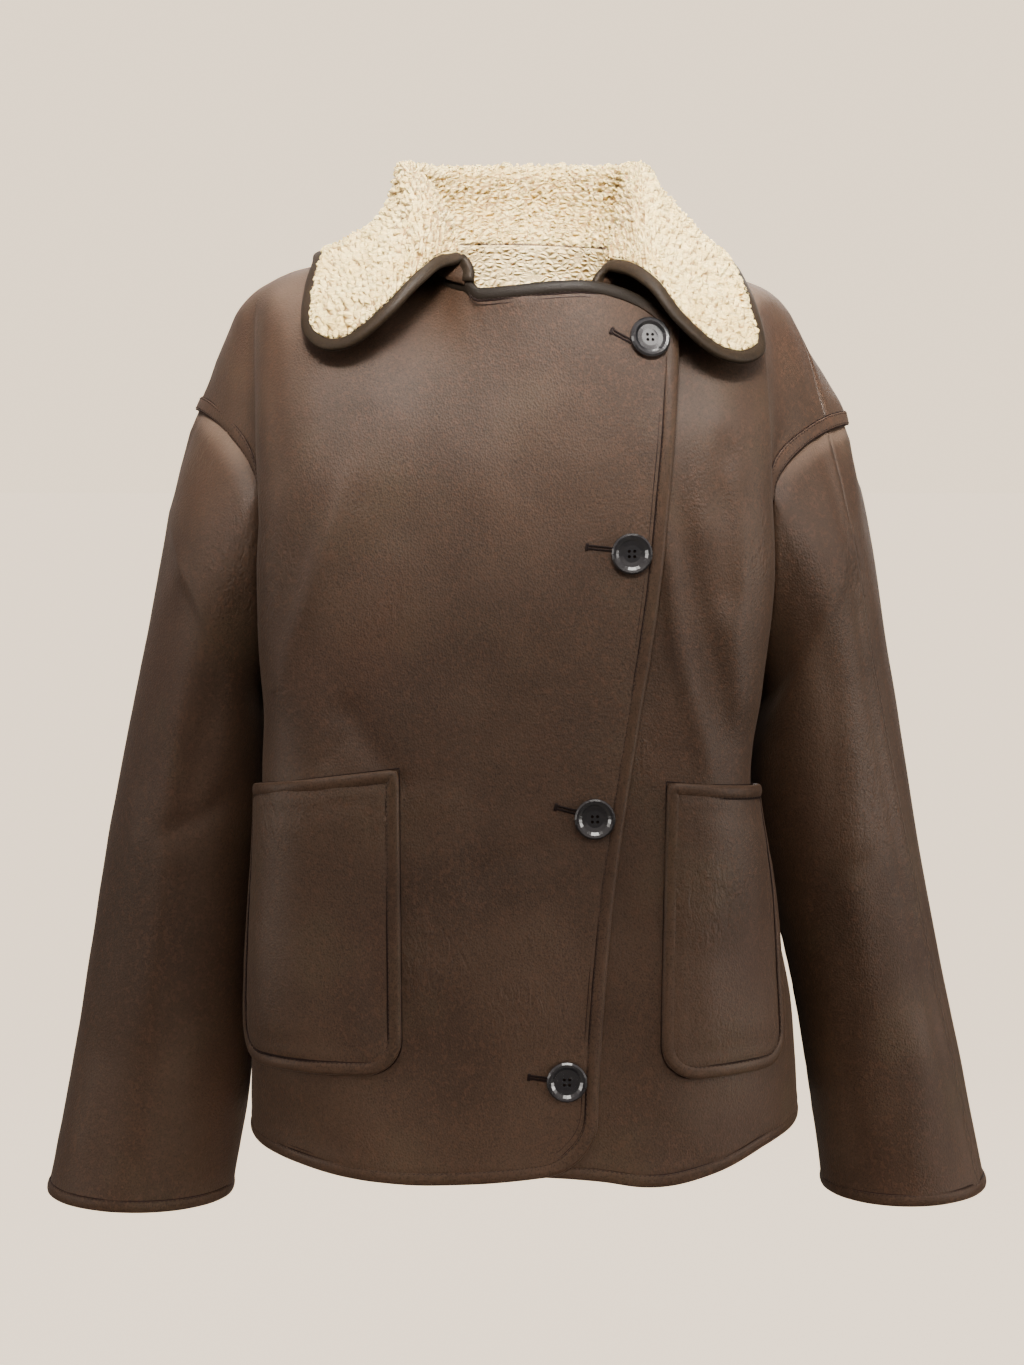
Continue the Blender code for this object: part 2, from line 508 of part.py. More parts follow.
class Panel:
    """One cut piece of the body, as a grid of points from its hem up to its shoulder and neck."""

    def __init__(self, name, rows=ROWS, columns=None, bound=0.0):
        self.name = name
        self.rows = rows
        self.columns = columns
        self.bound = bound  # how far the bound edges are drawn in
        self.points = self.make()
        self.normals = grid_normals(self.points) * self.outward()

    def outward(self):
        return 1.0 if self.name == "front_right" else -1.0

    def shares(self):
        """Column places from 0 to 1: evenly over the shoulder, then evenly over the neckline."""
        at_neck = SHOULDER_SHARE[self.name]
        shoulder, neck = self.columns
        over_right = np.linspace(0, at_neck, shoulder + 1)[:-1]
        if self.name == "back":
            over_neck = np.linspace(at_neck, 1 - at_neck, neck + 1)[:-1]
            return np.concatenate([over_right, over_neck, np.linspace(1 - at_neck, 1, shoulder + 1)])
        return np.concatenate([over_right, np.linspace(at_neck, 1, neck + 1)])

    def top_line(self):
        """The shoulder seam and the neckline, a point for each column."""
        shoulder, neck = self.columns
        if self.name == "back":
            right = along(SHOULDER_RIGHT, shoulder + 1)
            left = along(SHOULDER_LEFT, shoulder + 1)[::-1]
            return np.concatenate([right[:-1], along(NECK_BACK, neck + 1)[:-1], left])
        right = self.name == "front_right"
        seam = along(SHOULDER_RIGHT if right else SHOULDER_LEFT, shoulder + 1)
        line = along(NECK_FRONT_RIGHT if right else NECK_FRONT_LEFT, NECK_LINE_POINTS)
        if right:
            run = unit(np.gradient(line[:, [0, 2]], axis=0))
            inward = np.stack([run[:, 1], -run[:, 0] * arch_slope(line), -run[:, 0]], axis=1)
            drawn = eased((line[:, 0] - NECK_INSET_X) / NECK_INSET_RUN) * self.bound
            line = line + drawn[:, None] * inward
            line = line[line[:, 0] <= free_edge(line[:, 2]) - self.bound]
        return np.concatenate([seam[:-1], along(line, neck + 1)])

    def lower(self, side, face, share, hem, end_of_row):
        """The rows from the hem to the chest, for one side of the body."""
        rows = []
        for step in range(self.rows[0]):
            part = (step / self.rows[0]) ** LOW_SPACING
            z = hem + (UNDERARM_Z - hem) * part
            rows.append(body_point(side, face, z, share, end_of_row(z), 0.0))
        for step in range(self.rows[1] + 1):
            q = 0.25 * (step / self.rows[1]) ** HIGH_SPACING
            mark = armhole(side, q if face < 0 else 1 - q)
            z = np.full(share.shape, mark[2])
            rows.append(body_point(side, face, z, share, end_of_row(z), abs(mark[1])))
        return rows

    def upper(self, chest, top, corrections, end_of_row=None):
        """The arched rows from the chest to the shoulder seam and the neckline."""
        towards_end = eased((self.shares() - EDGE_FROM) / (1 - EDGE_FROM))
        ratio = np.clip(top[:, 1] / chest[:, 1], -1, 1)
        turn_all = np.arccos(ratio)
        rows = []
        for step in range(1, self.rows[2] + 1):
            turn = turn_all * step / self.rows[2]
            over = ((1 - np.cos(turn)) / (1 - np.cos(turn_all)))[:, None]
            up = np.sin(turn) / np.sin(turn_all)
            row = chest + (top - chest) * over
            row[:, 2] = chest[:, 2] + (top[:, 2] - chest[:, 2]) * up
            for side, face, weight, column in corrections:
                seam = (ARMHOLE_RIGHT if side < 0 else ARMHOLE_LEFT)[4]
                first, last = (0.25, seam) if face < 0 else (0.75, seam)
                mark = armhole(side, first + (last - first) * step / self.rows[2])
                row = row + weight[:, None] * (mark - row[column])
            if end_of_row is not None and step < self.rows[2]:
                row[:, 0] += towards_end * (end_of_row(row[:, 2]) - row[-1, 0])
            rows.append(row)
        return rows

    def make(self):
        share = self.shares()
        top = self.top_line()
        if self.name == "back":
            return self.make_back(share, top)
        side = -1 if self.name == "front_right" else 1
        if side < 0:
            hem = hem_height(HEM_FRONT_RIGHT, share) + self.bound
            reach = FRONT_ROW_LENGTH * (1 - share) + FRONT_CORNER_RADIUS * (1 - math.sqrt(0.5))
            hem = hem + corner_rise(reach)
            floor = hem_height(HEM_FRONT_RIGHT, 1.0) + self.bound

            def end_of_row(z):
                inside = np.clip(floor + FRONT_CORNER_RADIUS - z[-1], 0, FRONT_CORNER_RADIUS)
                drawn = FRONT_CORNER_RADIUS - np.sqrt(FRONT_CORNER_RADIUS**2 - inside**2)
                return free_edge(z[-1]) - drawn - self.bound
        else:
            hem = hem_height(HEM_FRONT_LEFT, share) + self.bound

            def end_of_row(z):
                return free_edge(z[-1]) - UNDERLAP

        rows = self.lower(side, -1, share, hem, end_of_row)
        corrections = ((side, -1, 1 - eased(share / ARMHOLE_REACH["front"]), 0),)
        rows += self.upper(rows[-1], top, corrections, end_of_row if side < 0 else None)
        points = self.lapped(np.array(rows))
        normals = grid_normals(points) * self.outward()
        mask = eased(share / SEAM_FREE["front"])[None, :, None] * self.below_seam()
        folds = FOLDS_FRONT_RIGHT if side < 0 else FOLDS_FRONT_LEFT
        return points + (folded(points, normals, folds) - points) * mask

    def below_seam(self):
        """A row weight that keeps the shoulder seam itself free of folds."""
        last = sum(self.rows)
        fading = self.rows[2] * SHOULDER_FREE
        weight = 1 - eased((np.arange(last + 1) - last + fading) / fading)
        return weight[:, None, None]

    def lapped(self, points):
        """Lifts the upper front, or sinks the under one, where the two overlap."""
        points = points.copy()
        past_edge = points[..., 0] - free_edge(points[..., 2])
        if self.name == "front_right":
            share, start, run = UPPER_LIFT
            lift = share * eased((past_edge + start) / run)
        else:
            share, start, run = UNDER_SINK
            lift = -share * eased((start - past_edge) / run)
        start, run = LIFT_DEPTH
        points[..., 1] -= OVERLAP_LIFT * lift * eased((-points[..., 1] - start) / run)
        return points

    def make_back(self, share, top):
        hem = hem_height(HEM_BACK, share) + self.bound
        halves = []
        for side, chosen, local in ((-1, share <= 0.5, share * 2), (1, share >= 0.5, 2 - share * 2)):
            rows = self.lower(side, 1, local[chosen], hem[chosen], lambda z: 0.0)
            halves.append(np.array(rows))
        rows = list(np.concatenate([halves[0], halves[1][:, 1:]], axis=1))
        right = 1 - eased(share / ARMHOLE_REACH["back"])
        left = 1 - eased((1 - share) / ARMHOLE_REACH["back"])
        rows += self.upper(rows[-1], top, ((-1, 1, right, 0), (1, 1, left, -1)))
        points = np.array(rows)
        normals = grid_normals(points) * self.outward()
        beside_seams = eased(share / SEAM_FREE["back"]) * eased((1 - share) / SEAM_FREE["back"])
        mask = beside_seams[None, :, None] * self.below_seam()
        return points + (folded(points, normals, FOLDS_BACK) - points) * mask


def grid_normals(points):
    """A normal for each point of a grid, from its neighbours in the rows and columns."""
    across = np.gradient(points, axis=1)
    up = np.gradient(points, axis=0)
    return unit(np.cross(across, up))


# ---------------------------------------------------------------- sleeves
def sleeve_half(side, face, rows, steps):
    """Points of one half of a sleeve, from the overarm seam (column 0) to the underarm seam."""
    table = SLEEVE_RIGHT if side < 0 else SLEEVE_LEFT
    seam_at = (ARMHOLE_RIGHT if side < 0 else ARMHOLE_LEFT)[4]
    first_turn, last_turn = OVERARM_RIGHT if side < 0 else OVERARM_LEFT
    share = np.linspace(0, 1, steps + 1)
    q = seam_at * (1 - share) if face < 0 else seam_at + (1 - seam_at) * share
    rings = [armhole(side, q)]
    for i, (outer_x, outer_z, inner_x, inner_z, front, back, middle_y) in enumerate(table):
        start = math.radians(first_turn + (last_turn - first_turn) * i / (len(table) - 1))
        span = math.pi - start if face < 0 else math.pi + start
        turn = start - face * share * span
        middle = np.array([(outer_x + inner_x) / 2, 0, (outer_z + inner_z) / 2])
        reach = np.array([(outer_x - inner_x) / 2, 0, (outer_z - inner_z) / 2])
        depth = np.where(np.sin(turn) > 0, front, back)
        ring = middle + np.outer(np.cos(turn), reach)
        ring[:, 1] = middle_y - depth * np.sin(turn)
        ring[:, 2] -= CUFF_FRONT_DROP * np.clip(np.sin(turn), 0, 1) * (i / (len(table) - 1)) ** 3
        rings.append(ring)
    rings = np.array(rings)
    steps_down = np.linalg.norm(np.diff(rings[:, [0, -1]], axis=0), axis=2).mean(axis=1)
    at = np.concatenate([[0], np.cumsum(steps_down)])
    places = np.concatenate([SLEEVE_FIRST_ROWS, np.linspace(SLEEVE_EVEN_FROM, at[-1], rows - 2)])
    return smooth(places, at, rings)


# ---------------------------------------------------------------- solids
def collection_for(name):
    made = bpy.data.collections.new(name)
    bpy.context.scene.collection.children.link(made)
    return made


def material(name, colour, roughness):
    made = bpy.data.materials.new(name)
    made.use_nodes = True
    shader = made.node_tree.nodes["Principled BSDF"]
    shader.inputs["Base Color"].default_value = colour
    shader.inputs["Roughness"].default_value = roughness
    return made


def add_object(name, mesh, finish, home):
    made = bpy.data.objects.new(name, mesh)
    made.data.materials.append(finish)
    home.objects.link(made)
    return made


def lofted(name, sections, finish, home, closed=False):
    """A solid through sections with the same count of points, capped at its ends unless it is closed."""
    sections = np.asarray(sections)
    rows, count = sections.shape[:2]
    shape = bmesh.new()
    points = [[shape.verts.new(p) for p in row] for row in sections]
    last = rows if closed else rows - 1
    for i in range(last):
        near, far = points[i], points[(i + 1) % rows]
        for j in range(count):
            k = (j + 1) % count
            shape.faces.new((near[j], near[k], far[k], far[j]))
    if not closed:
        shape.faces.new(points[0][::-1])
        shape.faces.new(points[-1])
    bmesh.ops.triangulate(shape, faces=[f for f in shape.faces if len(f.verts) > 4])
    bmesh.ops.recalc_face_normals(shape, faces=shape.faces)
    mesh = bpy.data.meshes.new(name)
    shape.to_mesh(mesh)
    shape.free()
    mesh.shade_smooth()
    mesh.set_sharp_from_angle(angle=math.radians(SHARP_ANGLE))
    return add_object(name, mesh, finish, home)


def wall(name, outer, inner, finish, home):
    """A cloth wall: the outer points of a grid, the inner ones, and the rim between them."""
    rows, columns = outer.shape[:2]
    shape = bmesh.new()
    skins = [[[shape.verts.new(p) for p in row] for row in skin] for skin in (outer, inner)]
    for skin in skins:
        for i in range(rows - 1):
            for j in range(columns - 1):
                shape.faces.new((skin[i][j], skin[i][j + 1], skin[i + 1][j + 1], skin[i + 1][j]))
    rim = [(i, 0) for i in range(rows)] + [(rows - 1, j) for j in range(1, columns)]
    rim += [(i, columns - 1) for i in range(rows - 2, -1, -1)] + [(0, j) for j in range(columns - 2, 0, -1)]
    for (i, j), (k, m) in zip(rim, rim[1:] + rim[:1]):
        shape.faces.new((skins[0][i][j], skins[0][k][m], skins[1][k][m], skins[1][i][j]))
    bmesh.ops.recalc_face_normals(shape, faces=shape.faces)
    mesh = bpy.data.meshes.new(name)
    shape.to_mesh(mesh)
    shape.free()
    mesh.shade_smooth()
    mesh.set_sharp_from_angle(angle=math.radians(SHARP_ANGLE))
    return add_object(name, mesh, finish, home)


def drawn_in(points, edge, gap):
    """Moves one edge of a grid ("first_row", "last_row", "first_column", "last_column") into it by a gap."""
    moved = points.copy()
    if edge == "first_row":
        moved[0] += gap * unit(points[1] - points[0])
    elif edge == "last_row":
        moved[-1] += gap * unit(points[-2] - points[-1])
    elif edge == "first_column":
        moved[:, 0] += gap * unit(points[:, 1] - points[:, 0])
    else:
        moved[:, -1] += gap * unit(points[:, -2] - points[:, -1])
    return moved


def swept(name, path, normals, half_width, half_thick, finish, home, closed=False):
    """A flat bar with rounded sides along a path, mitred where it turns, its width square to the normals."""
    path = np.asarray(path)
    if closed:
        before = unit(path - np.roll(path, 1, axis=0))
        after = unit(np.roll(path, -1, axis=0) - path)
    else:
        steps = unit(np.diff(path, axis=0))
        before = np.concatenate([steps[:1], steps])
        after = np.concatenate([steps, steps[-1:]])
    tangents = unit(before + after)
    across = unit(np.cross(tangents, normals))
    up = unit(np.cross(across, tangents))
    across = across / np.maximum((before * tangents).sum(axis=1), MITRE_LIMIT)[:, None]
    sections = [path + across * half_width * a + up * half_thick * b for a, b in BAR_SECTION]
    return lofted(name, np.array(sections).transpose(1, 0, 2), finish, home, closed=closed)


def tidy_path(points, normals, spacing):
    """The same path with points at even steps, and its normals."""
    steps = np.linalg.norm(np.diff(points, axis=0), axis=1)
    keep = np.concatenate([[True], steps > SAME_POINT])
    points, normals = points[keep], normals[keep]
    at = np.concatenate([[0], np.cumsum(np.linalg.norm(np.diff(points, axis=0), axis=1))])
    places = np.linspace(0, at[-1], max(3, round(at[-1] / spacing) + 1))
    new_points = np.stack([np.interp(places, at, points[:, k]) for k in range(3)], axis=1)
    new_normals = np.stack([np.interp(places, at, normals[:, k]) for k in range(3)], axis=1)
    return new_points, unit(new_normals)


# ---------------------------------------------------------------- the pieces
def seam_directions(first, second):
    """The wall's direction at a shared seam: the middle one where the cloth runs on, else each side's own."""
    apart, together = SEAM_COSINES
    agree = np.clip(((first * second).sum(axis=-1) - apart) / (together - apart), 0, 1)[..., None]
    return unit(first + agree * second), unit(second + agree * first)


def build_cloth(finish, home):
    """The fronts, the back and the sleeves."""
    inset = BIND_WIDTH + GAP_AT_BINDING
    panels = {
        "front_right": Panel("front_right", columns=COLUMNS_FRONT_RIGHT, bound=inset),
        "front_left": Panel("front_left", columns=COLUMNS_FRONT_LEFT, bound=inset),
        "back": Panel("back", columns=COLUMNS_BACK, bound=inset),
    }
    right, left, back = panels["front_right"], panels["front_left"], panels["back"]
    low_rows = ROWS[0] + 1
    for side, front in ((-1, right), (1, left)):
        at = 0 if side < 0 else -1
        a, b = seam_directions(front.normals[:low_rows, 0], back.normals[:low_rows, at])
        front.normals[:low_rows, 0], back.normals[:low_rows, at] = a, b
        count = COLUMNS_BACK[0] + 1
        own = np.linspace(0, 1, COLUMNS_FRONT_RIGHT[0] + 1)
        shared = np.linspace(0, 1, count)
        back_columns = slice(0, count) if side < 0 else slice(-1, -count - 1, -1)
        back_line = back.normals[-1, back_columns]
        front_line = front.normals[-1, : len(own)]
        back_on_front = np.stack([np.interp(own, shared, back_line[:, k]) for k in range(3)], axis=1)
        front_on_back = np.stack([np.interp(shared, own, front_line[:, k]) for k in range(3)], axis=1)
        front.normals[-1, : len(own)] = unit(front_line + back_on_front)
        back.normals[-1, back_columns] = unit(back_line + front_on_back)

    sleeves = {}
    for side, word in ((-1, "right"), (1, "left")):
        for face, half in ((-1, "front"), (1, "back")):
            points = sleeve_half(side, face, SLEEVE_ROWS, SLEEVE_STEPS)
            sleeves[word, half] = [points, grid_normals(points) * (-side * face)]
        front, behind = sleeves[word, "front"], sleeves[word, "back"]
        for column in (0, -1):
            mixed = unit(front[1][:, column] + behind[1][:, column])
            front[1][:, column] = mixed
            behind[1][:, column] = mixed

    for name, panel in panels.items():
        points = panel.points
        for edge in ("first_column", "last_row") + (("last_column",) if name == "back" else ()):
            points = drawn_in(points, edge, GAP_AT_SEAM)
        wall(name, points, points - panel.normals * WALL, finish, home)
    for (word, half), (points, normals) in sleeves.items():
        side = -1 if word == "right" else 1
        moved = drawn_in(points, "first_row", GAP_AT_ARMHOLE)
        valley = np.clip(-side * normals[0, :, 0], 0, 1)
        moved[0, :, 0] += side * valley * GAP_AT_ARMHOLE_VALLEY
        moved[-1] += (BIND_WIDTH + GAP_AT_CUFF) * unit(points[-2] - points[-1])
        for edge in ("first_column", "last_column"):
            moved = drawn_in(moved, edge, GAP_AT_SLEEVE_SEAM)
        wall(f"sleeve_{word}_{half}", moved, moved - normals * WALL, finish, home)


def build_bands(finish, home):
    """The stitched strip beside each armhole seam, on the body, from the chest in front over the shoulder."""
    back = Panel("back", BAND_ROWS, BAND_COLUMNS["back"])
    chest = BAND_ROWS[0] + BAND_ROWS[1] - 1
    over_back = slice(-2, chest - 1, -1)
    for word, at, step in (("right", 0, 1), ("left", -1, -1)):
        front = Panel(f"front_{word}", BAND_ROWS, BAND_COLUMNS["front"])
        line = np.concatenate([front.points[chest:, 0], back.points[over_back, at]])
        beside = np.concatenate([front.points[chest:, 2], back.points[over_back, at + 2 * step]])
        normals = np.concatenate([front.normals[chest:, 1], back.normals[over_back, at + step]])
        for _ in range(4):
            normals[1:-1] = unit(normals[:-2] + 2 * normals[1:-1] + normals[2:])
        tangents = unit(np.gradient(line, axis=0))
        inward = np.cross(normals, tangents)
        inward = unit(inward * np.sign((inward * (beside - line)).sum(axis=1))[:, None])
        path = line + inward * (BAND_WIDTH / 2 + BAND_FROM_SEAM) + normals * (BAND_LIFT + BAND_THICK / 2)
        path, normals = tidy_path(path, normals, BAND_STEP)
        swept(f"armhole_band_{word}", path, normals, BAND_WIDTH / 2, BAND_THICK / 2, finish, home)


def build_hem_bindings(finish, home):
    """The folded binding on the free edges of the fronts and the back."""
    for name, columns in (
        ("front_right", COLUMNS_FRONT_RIGHT), ("front_left", COLUMNS_FRONT_LEFT), ("back", COLUMNS_BACK),
    ):
        panel = Panel(name, columns=columns, bound=BIND_WIDTH / 2)
        points = panel.points - panel.normals * (WALL / 2)
        path, normals = points[0], panel.normals[0]
        if name == "front_right":
            neck = points[-1]
            first = np.argmax(neck[:, 0] > NECK_BINDING_X)
            part = (NECK_BINDING_X - neck[first - 1, 0]) / (neck[first, 0] - neck[first - 1, 0])
            start = neck[first - 1] + part * (neck[first] - neck[first - 1])
            path = np.concatenate([[start], neck[first:], points[-2:0:-1, -1], path[::-1]])
            own = panel.normals
            normals = np.concatenate([own[-1, first - 1 :], own[-2:0:-1, -1], own[0, ::-1]])
        path = path.copy()
        path[0] += GAP_AT_BINDING_END * unit(path[1] - path[0])
        path[-1] += GAP_AT_BINDING_END * unit(path[-2] - path[-1])
        swept(f"binding_{name}", path, normals, BIND_WIDTH / 2, BIND_THICK / 2, finish, home)


def build_cuffs(finish, home):
    """The binding round the end of each sleeve, through every other point of its two halves."""
    for side, word in ((-1, "right"), (1, "left")):
        loops = []
        for face in (-1, 1):
            points = sleeve_half(side, face, CUFF_ROWS, CUFF_STEPS)
            normals = grid_normals(points) * (-side * face)
            edge = points[-1] + BIND_WIDTH / 2 * unit(points[-2] - points[-1]) - normals[-1] * WALL / 2
            loops.append((edge, normals[-1]))
        (front, front_normals), (back, back_normals) = loops
        path = np.concatenate([front[:-1], back[:0:-1]])[::2]
        normals = np.concatenate([front_normals[:-1], back_normals[:0:-1]])[::2]
        name = f"binding_cuff_{word}"
        swept(name, path, normals, BIND_WIDTH / 2, BIND_THICK / 2, finish, home, closed=True)


def rounded_patch(width, height, inset, top, radius, density):
    """A grid over a patch with rounded lower corners: places across it, and down it from its top edge.

    The patch is drawn in by an inset at its sides and foot, and by another one at its top."""
    columns, rows = density
    radius = radius - inset / 2
    reach = radius * (1 - math.cos(math.radians(45)))
    u = np.linspace(0, 1, columns)
    v = np.linspace(0, 1, rows)[:, None]
    across = inset + reach + (width - 2 * inset - 2 * reach) * u
    to_side = np.minimum(across - inset, width - inset - across)
    rise = radius - np.sqrt(radius**2 - np.clip(radius - to_side, 0, radius) ** 2)
    low = height - inset - reach
    down = top + (low - top) * v
    drawn = radius - np.sqrt(radius**2 - np.clip(radius - (height - inset - down), 0, radius) ** 2)
    places = inset + drawn + (width - 2 * inset - 2 * drawn) * u
    return places, down + (height - inset - rise - low) * v**2


def patch_rim(grid):
    """The rim of a patch's grid as a closed loop, from the top's first corner."""
    return np.concatenate([grid[0, :-1], grid[:-1, -1], grid[-1, :0:-1], grid[:0:-1, 0]])


def sampled(grid, row_share, column_share):
    """Points read from a dense grid at shares (0 to 1) of its rows and columns."""
    row = np.clip(row_share, 0, 1) * (grid.shape[0] - 1)
    column = np.clip(column_share, 0, 1) * (grid.shape[1] - 1)
    i = np.minimum(row.astype(int), grid.shape[0] - 2)
    j = np.minimum(column.astype(int), grid.shape[1] - 2)
    f = (row - i)[..., None]
    g = (column - j)[..., None]
    near = grid[i, j] * (1 - g) + grid[i, j + 1] * g
    far = grid[i + 1, j] * (1 - g) + grid[i + 1, j + 1] * g
    return near * (1 - f) + far * f


def collar_surface():
    """The collar's pile side as a dense grid with its normals: rows round the neck, columns down to the edge."""
    table = np.array(COLLAR)
    lines = np.array([along(line, COLLAR_LINE_POINTS) for line in table])
    leaf = table[:, COLLAR_LEAF_POINT]
    at = np.concatenate([[0], np.cumsum(np.linalg.norm(np.diff(leaf, axis=0), axis=1))])
    points = smooth(np.linspace(0, at[-1], COLLAR_STATIONS), at, lines)
    return points, -grid_normals(points)


def build_collar(finish, edge_finish, home):
    """The collar's two-layer wall and the binding round its leaf and its two front ends."""
    points, normals = collar_surface()
    width = np.linalg.norm(np.diff(points, axis=0), axis=2).sum(axis=0)[COLLAR_WIDTH_COLUMN]
    height = np.linalg.norm(np.diff(points[0], axis=0), axis=1).sum()
    round_share = np.linspace(0, 1, COLLAR_STATIONS)
    down_share = np.linspace(0, 1, COLLAR_LINE_POINTS)

    def reach(edge, inner, share):
        """The length square to an edge that the whole grid would span, from a line near the edge."""
        away = inner - edge
        run = unit(np.gradient(edge, axis=0))
        square = away - (away * run).sum(axis=1)[:, None] * run
        return np.linalg.norm(square, axis=1) / share

    first_end = reach(points[0], points[2], 2 / (COLLAR_STATIONS - 1))
    last_end = reach(points[-1], points[-3], 2 / (COLLAR_STATIONS - 1))
    leaf_edge = reach(points[:, -1], points[:, -4], 3 / (COLLAR_LINE_POINTS - 1))

    def placed(inset):
        """Points and normals over the collar, its free edges drawn in by an inset."""
        density = (COLLAR_COLUMNS, COLLAR_ROWS)
        places, down = rounded_patch(width, height, inset, 0.0, COLLAR_CORNER_RADIUS, density)
        around = (places - inset) / (width - 2 * inset)
        below = down / (height - inset) * (1 - inset / np.interp(around, round_share, leaf_edge))
        at_seam = 1 - eased((below - COLLAR_TUCK[0]) / COLLAR_TUCK[1])
        tucked = max(inset - BIND_WIDTH / 2, 0) * at_seam
        right_share, left_share, left_extra = COLLAR_END_SHARES
        near = (inset + right_share * tucked) / np.interp(below, down_share, first_end)
        far = (inset * left_extra + left_share * tucked) / np.interp(below, down_share, last_end)
        around = near + (1 - near - far) * around
        return sampled(points, around, below), unit(sampled(normals, around, below))

    outer, direction = placed(BIND_WIDTH + GAP_AT_COLLAR)
    wall("collar", outer, outer - direction * COLLAR_WALL, finish, home)
    middle, direction = placed(BIND_WIDTH / 2)
    middle = middle - direction * COLLAR_WALL / 2
    path, direction = (np.concatenate([g[:-1, 0], g[-1, :-1], g[::-1, -1]]) for g in (middle, direction))
    path[0] += GAP_AT_COLLAR_END * unit(path[1] - path[0])
    path[-1] += GAP_AT_COLLAR_END * unit(path[-2] - path[-1])
    half_thick = COLLAR_WALL / 2 + COLLAR_BIND_EXTRA
    swept("binding_collar", path, direction, BIND_WIDTH / 2, half_thick, edge_finish, home)


def pocket_place(word, arc, down, inset):
    """A point on a front and its normal: arc runs from the pocket's inner edge, down from its top."""
    width, waist, x_top, x_bottom, top_inner, top_outer, bottom_inner, bottom_outer = POCKETS[word]
    side = -1 if word == "right" else 1
    height = top_inner - bottom_inner
    inner_x = x_top + (x_bottom - x_top) * down / height
    share = arc / width
    top = top_inner - inset + (top_outer - top_inner) * share
    bottom = bottom_inner + inset + (bottom_outer - bottom_inner) * share
    z = top + (bottom - top) * (down - inset) / (height - 2 * inset)
    arc = arc * (1 - waist * np.sin(math.pi * down / height))

    def at(arc_from_edge):
        sizes = section(z)
        half = sizes["right_half"] if side < 0 else sizes["left_half"]
        corner = sizes["right_front_corner"] if side < 0 else sizes["left_front_corner"]
        depth = sizes["front"]
        to_edge = depth - corner + corner * math.pi / 2 + (half - corner) - side * inner_x
        x, y = body_arc(to_edge - arc_from_edge, half, depth, corner)
        return np.stack(np.broadcast_arrays(side * x, -y, z), axis=-1)

    sideways = at(arc + NORMAL_STEP) - at(arc - NORMAL_STEP)
    normal = unit(np.stack([sideways[..., 1], -sideways[..., 0], 0 * sideways[..., 0]], axis=-1))
    return at(arc), normal * side


def build_pockets(finish, edge_finish, home):
    """The two patch pockets, closed at the top, with the binding round each."""
    for word, (width, _, _, _, top_inner, _, bottom_inner, _) in POCKETS.items():
        height = top_inner - bottom_inner

        def placed(inset, only_rim):
            """Points and normals over the pocket drawn in by an inset, or only round it."""
            density = (POCKET_ROWS, POCKET_ROWS)
            arc, down = rounded_patch(width, height, inset, inset, POCKET_CORNER_RADIUS, density)
            if only_rim:
                arc, down = patch_rim(arc), patch_rim(down)
            return pocket_place(word, arc, down, inset)

        point, normal = placed(BIND_WIDTH + GAP_AT_POCKET, only_rim=False)
        outer = point + normal * (POCKET_LIFT + WALL)
        wall(f"pocket_{word}", outer, outer - normal * WALL, finish, home)
        point, normal = placed(BIND_WIDTH / 2, only_rim=True)
        path = point + normal * (POCKET_LIFT + WALL / 2)
        name = f"binding_pocket_{word}"
        swept(name, path, normal, BIND_WIDTH / 2, BIND_THICK / 2, edge_finish, home, closed=True)


def button_place(front, x, z):
    """Where a button sits on the upper front, clear of the cloth under it, and the way it faces."""
    distance = np.hypot(front.points[..., 0] - x, front.points[..., 2] - z)
    row, column = np.unravel_index(np.argmin(distance), distance.shape)
    near = distance < BUTTON_RADIUS * BUTTON_REST
    normal = unit(front.normals[near].mean(axis=0))
    place = np.array([x, front.points[row, column, 1], z])
    slope = front.normals[row, column]
    place[1] += ((front.points[row, column] - place) @ slope) / slope[1]
    under = ((front.points[near] - place) @ normal).max()
    return place + normal * (max(under, 0) + BUTTON_SEAT), normal


def build_buttons(finish, home, helpers):
    """Turned buttons with a raised rim and four holes, square to the upper front where they sit."""
    front = Panel("front_right", BUTTON_ROWS, BUTTON_COLUMNS, BIND_WIDTH)
    half = [(share * BUTTON_RADIUS, 0, height * BUTTON_THICK) for share, height in BUTTON_PROFILE[::-1]]
    half.append((0, 0, 0))
    for number, (x, z) in enumerate(BUTTONS, start=1):
        place, normal = button_place(front, x, z)
        turn = Vector(normal).to_track_quat("Z", "Y").to_matrix().to_4x4()
        where = Matrix.Translation(Vector(place)) @ turn
        mesh = bpy.data.meshes.new(f"button_{number}")
        mesh.from_pydata(half, [(i, i + 1) for i in range(len(half) - 1)], [])
        button = add_object(f"button_{number}", mesh, finish, home)
        turned = button.modifiers.new("turned", "SCREW")
        turned.angle = 2 * math.pi
        turned.steps = turned.render_steps = BUTTON_STEPS
        turned.use_merge_vertices = True
        turned.merge_threshold = SAME_POINT * 10
        turned.use_smooth_shade = True
        button.matrix_world = where
        for i in range(4):
            angle = math.radians(45 + 90 * i)
            offset = Vector((math.cos(angle), math.sin(angle), 0)) * BUTTON_HOLE_SPREAD
            bpy.ops.mesh.primitive_cylinder_add(
                vertices=HOLE_STEPS, radius=BUTTON_HOLE_RADIUS, depth=BUTTON_THICK * 4
            )
            cutter = bpy.context.active_object
            cutter.name = f"hole_{number}_{i + 1}"
            for owner in list(cutter.users_collection):
                owner.objects.unlink(cutter)
            helpers.objects.link(cutter)
            spin = Matrix.Rotation(math.radians(BUTTON_SPIN), 4, "Z")
            cutter.matrix_world = where @ Matrix.Translation(offset) @ spin
            cutter.display_type = "WIRE"
            cutter.hide_render = True
            cut = button.modifiers.new(f"hole_{i + 1}", "BOOLEAN")
            cut.operation = "DIFFERENCE"
            cut.solver = "EXACT"
            cut.object = cutter


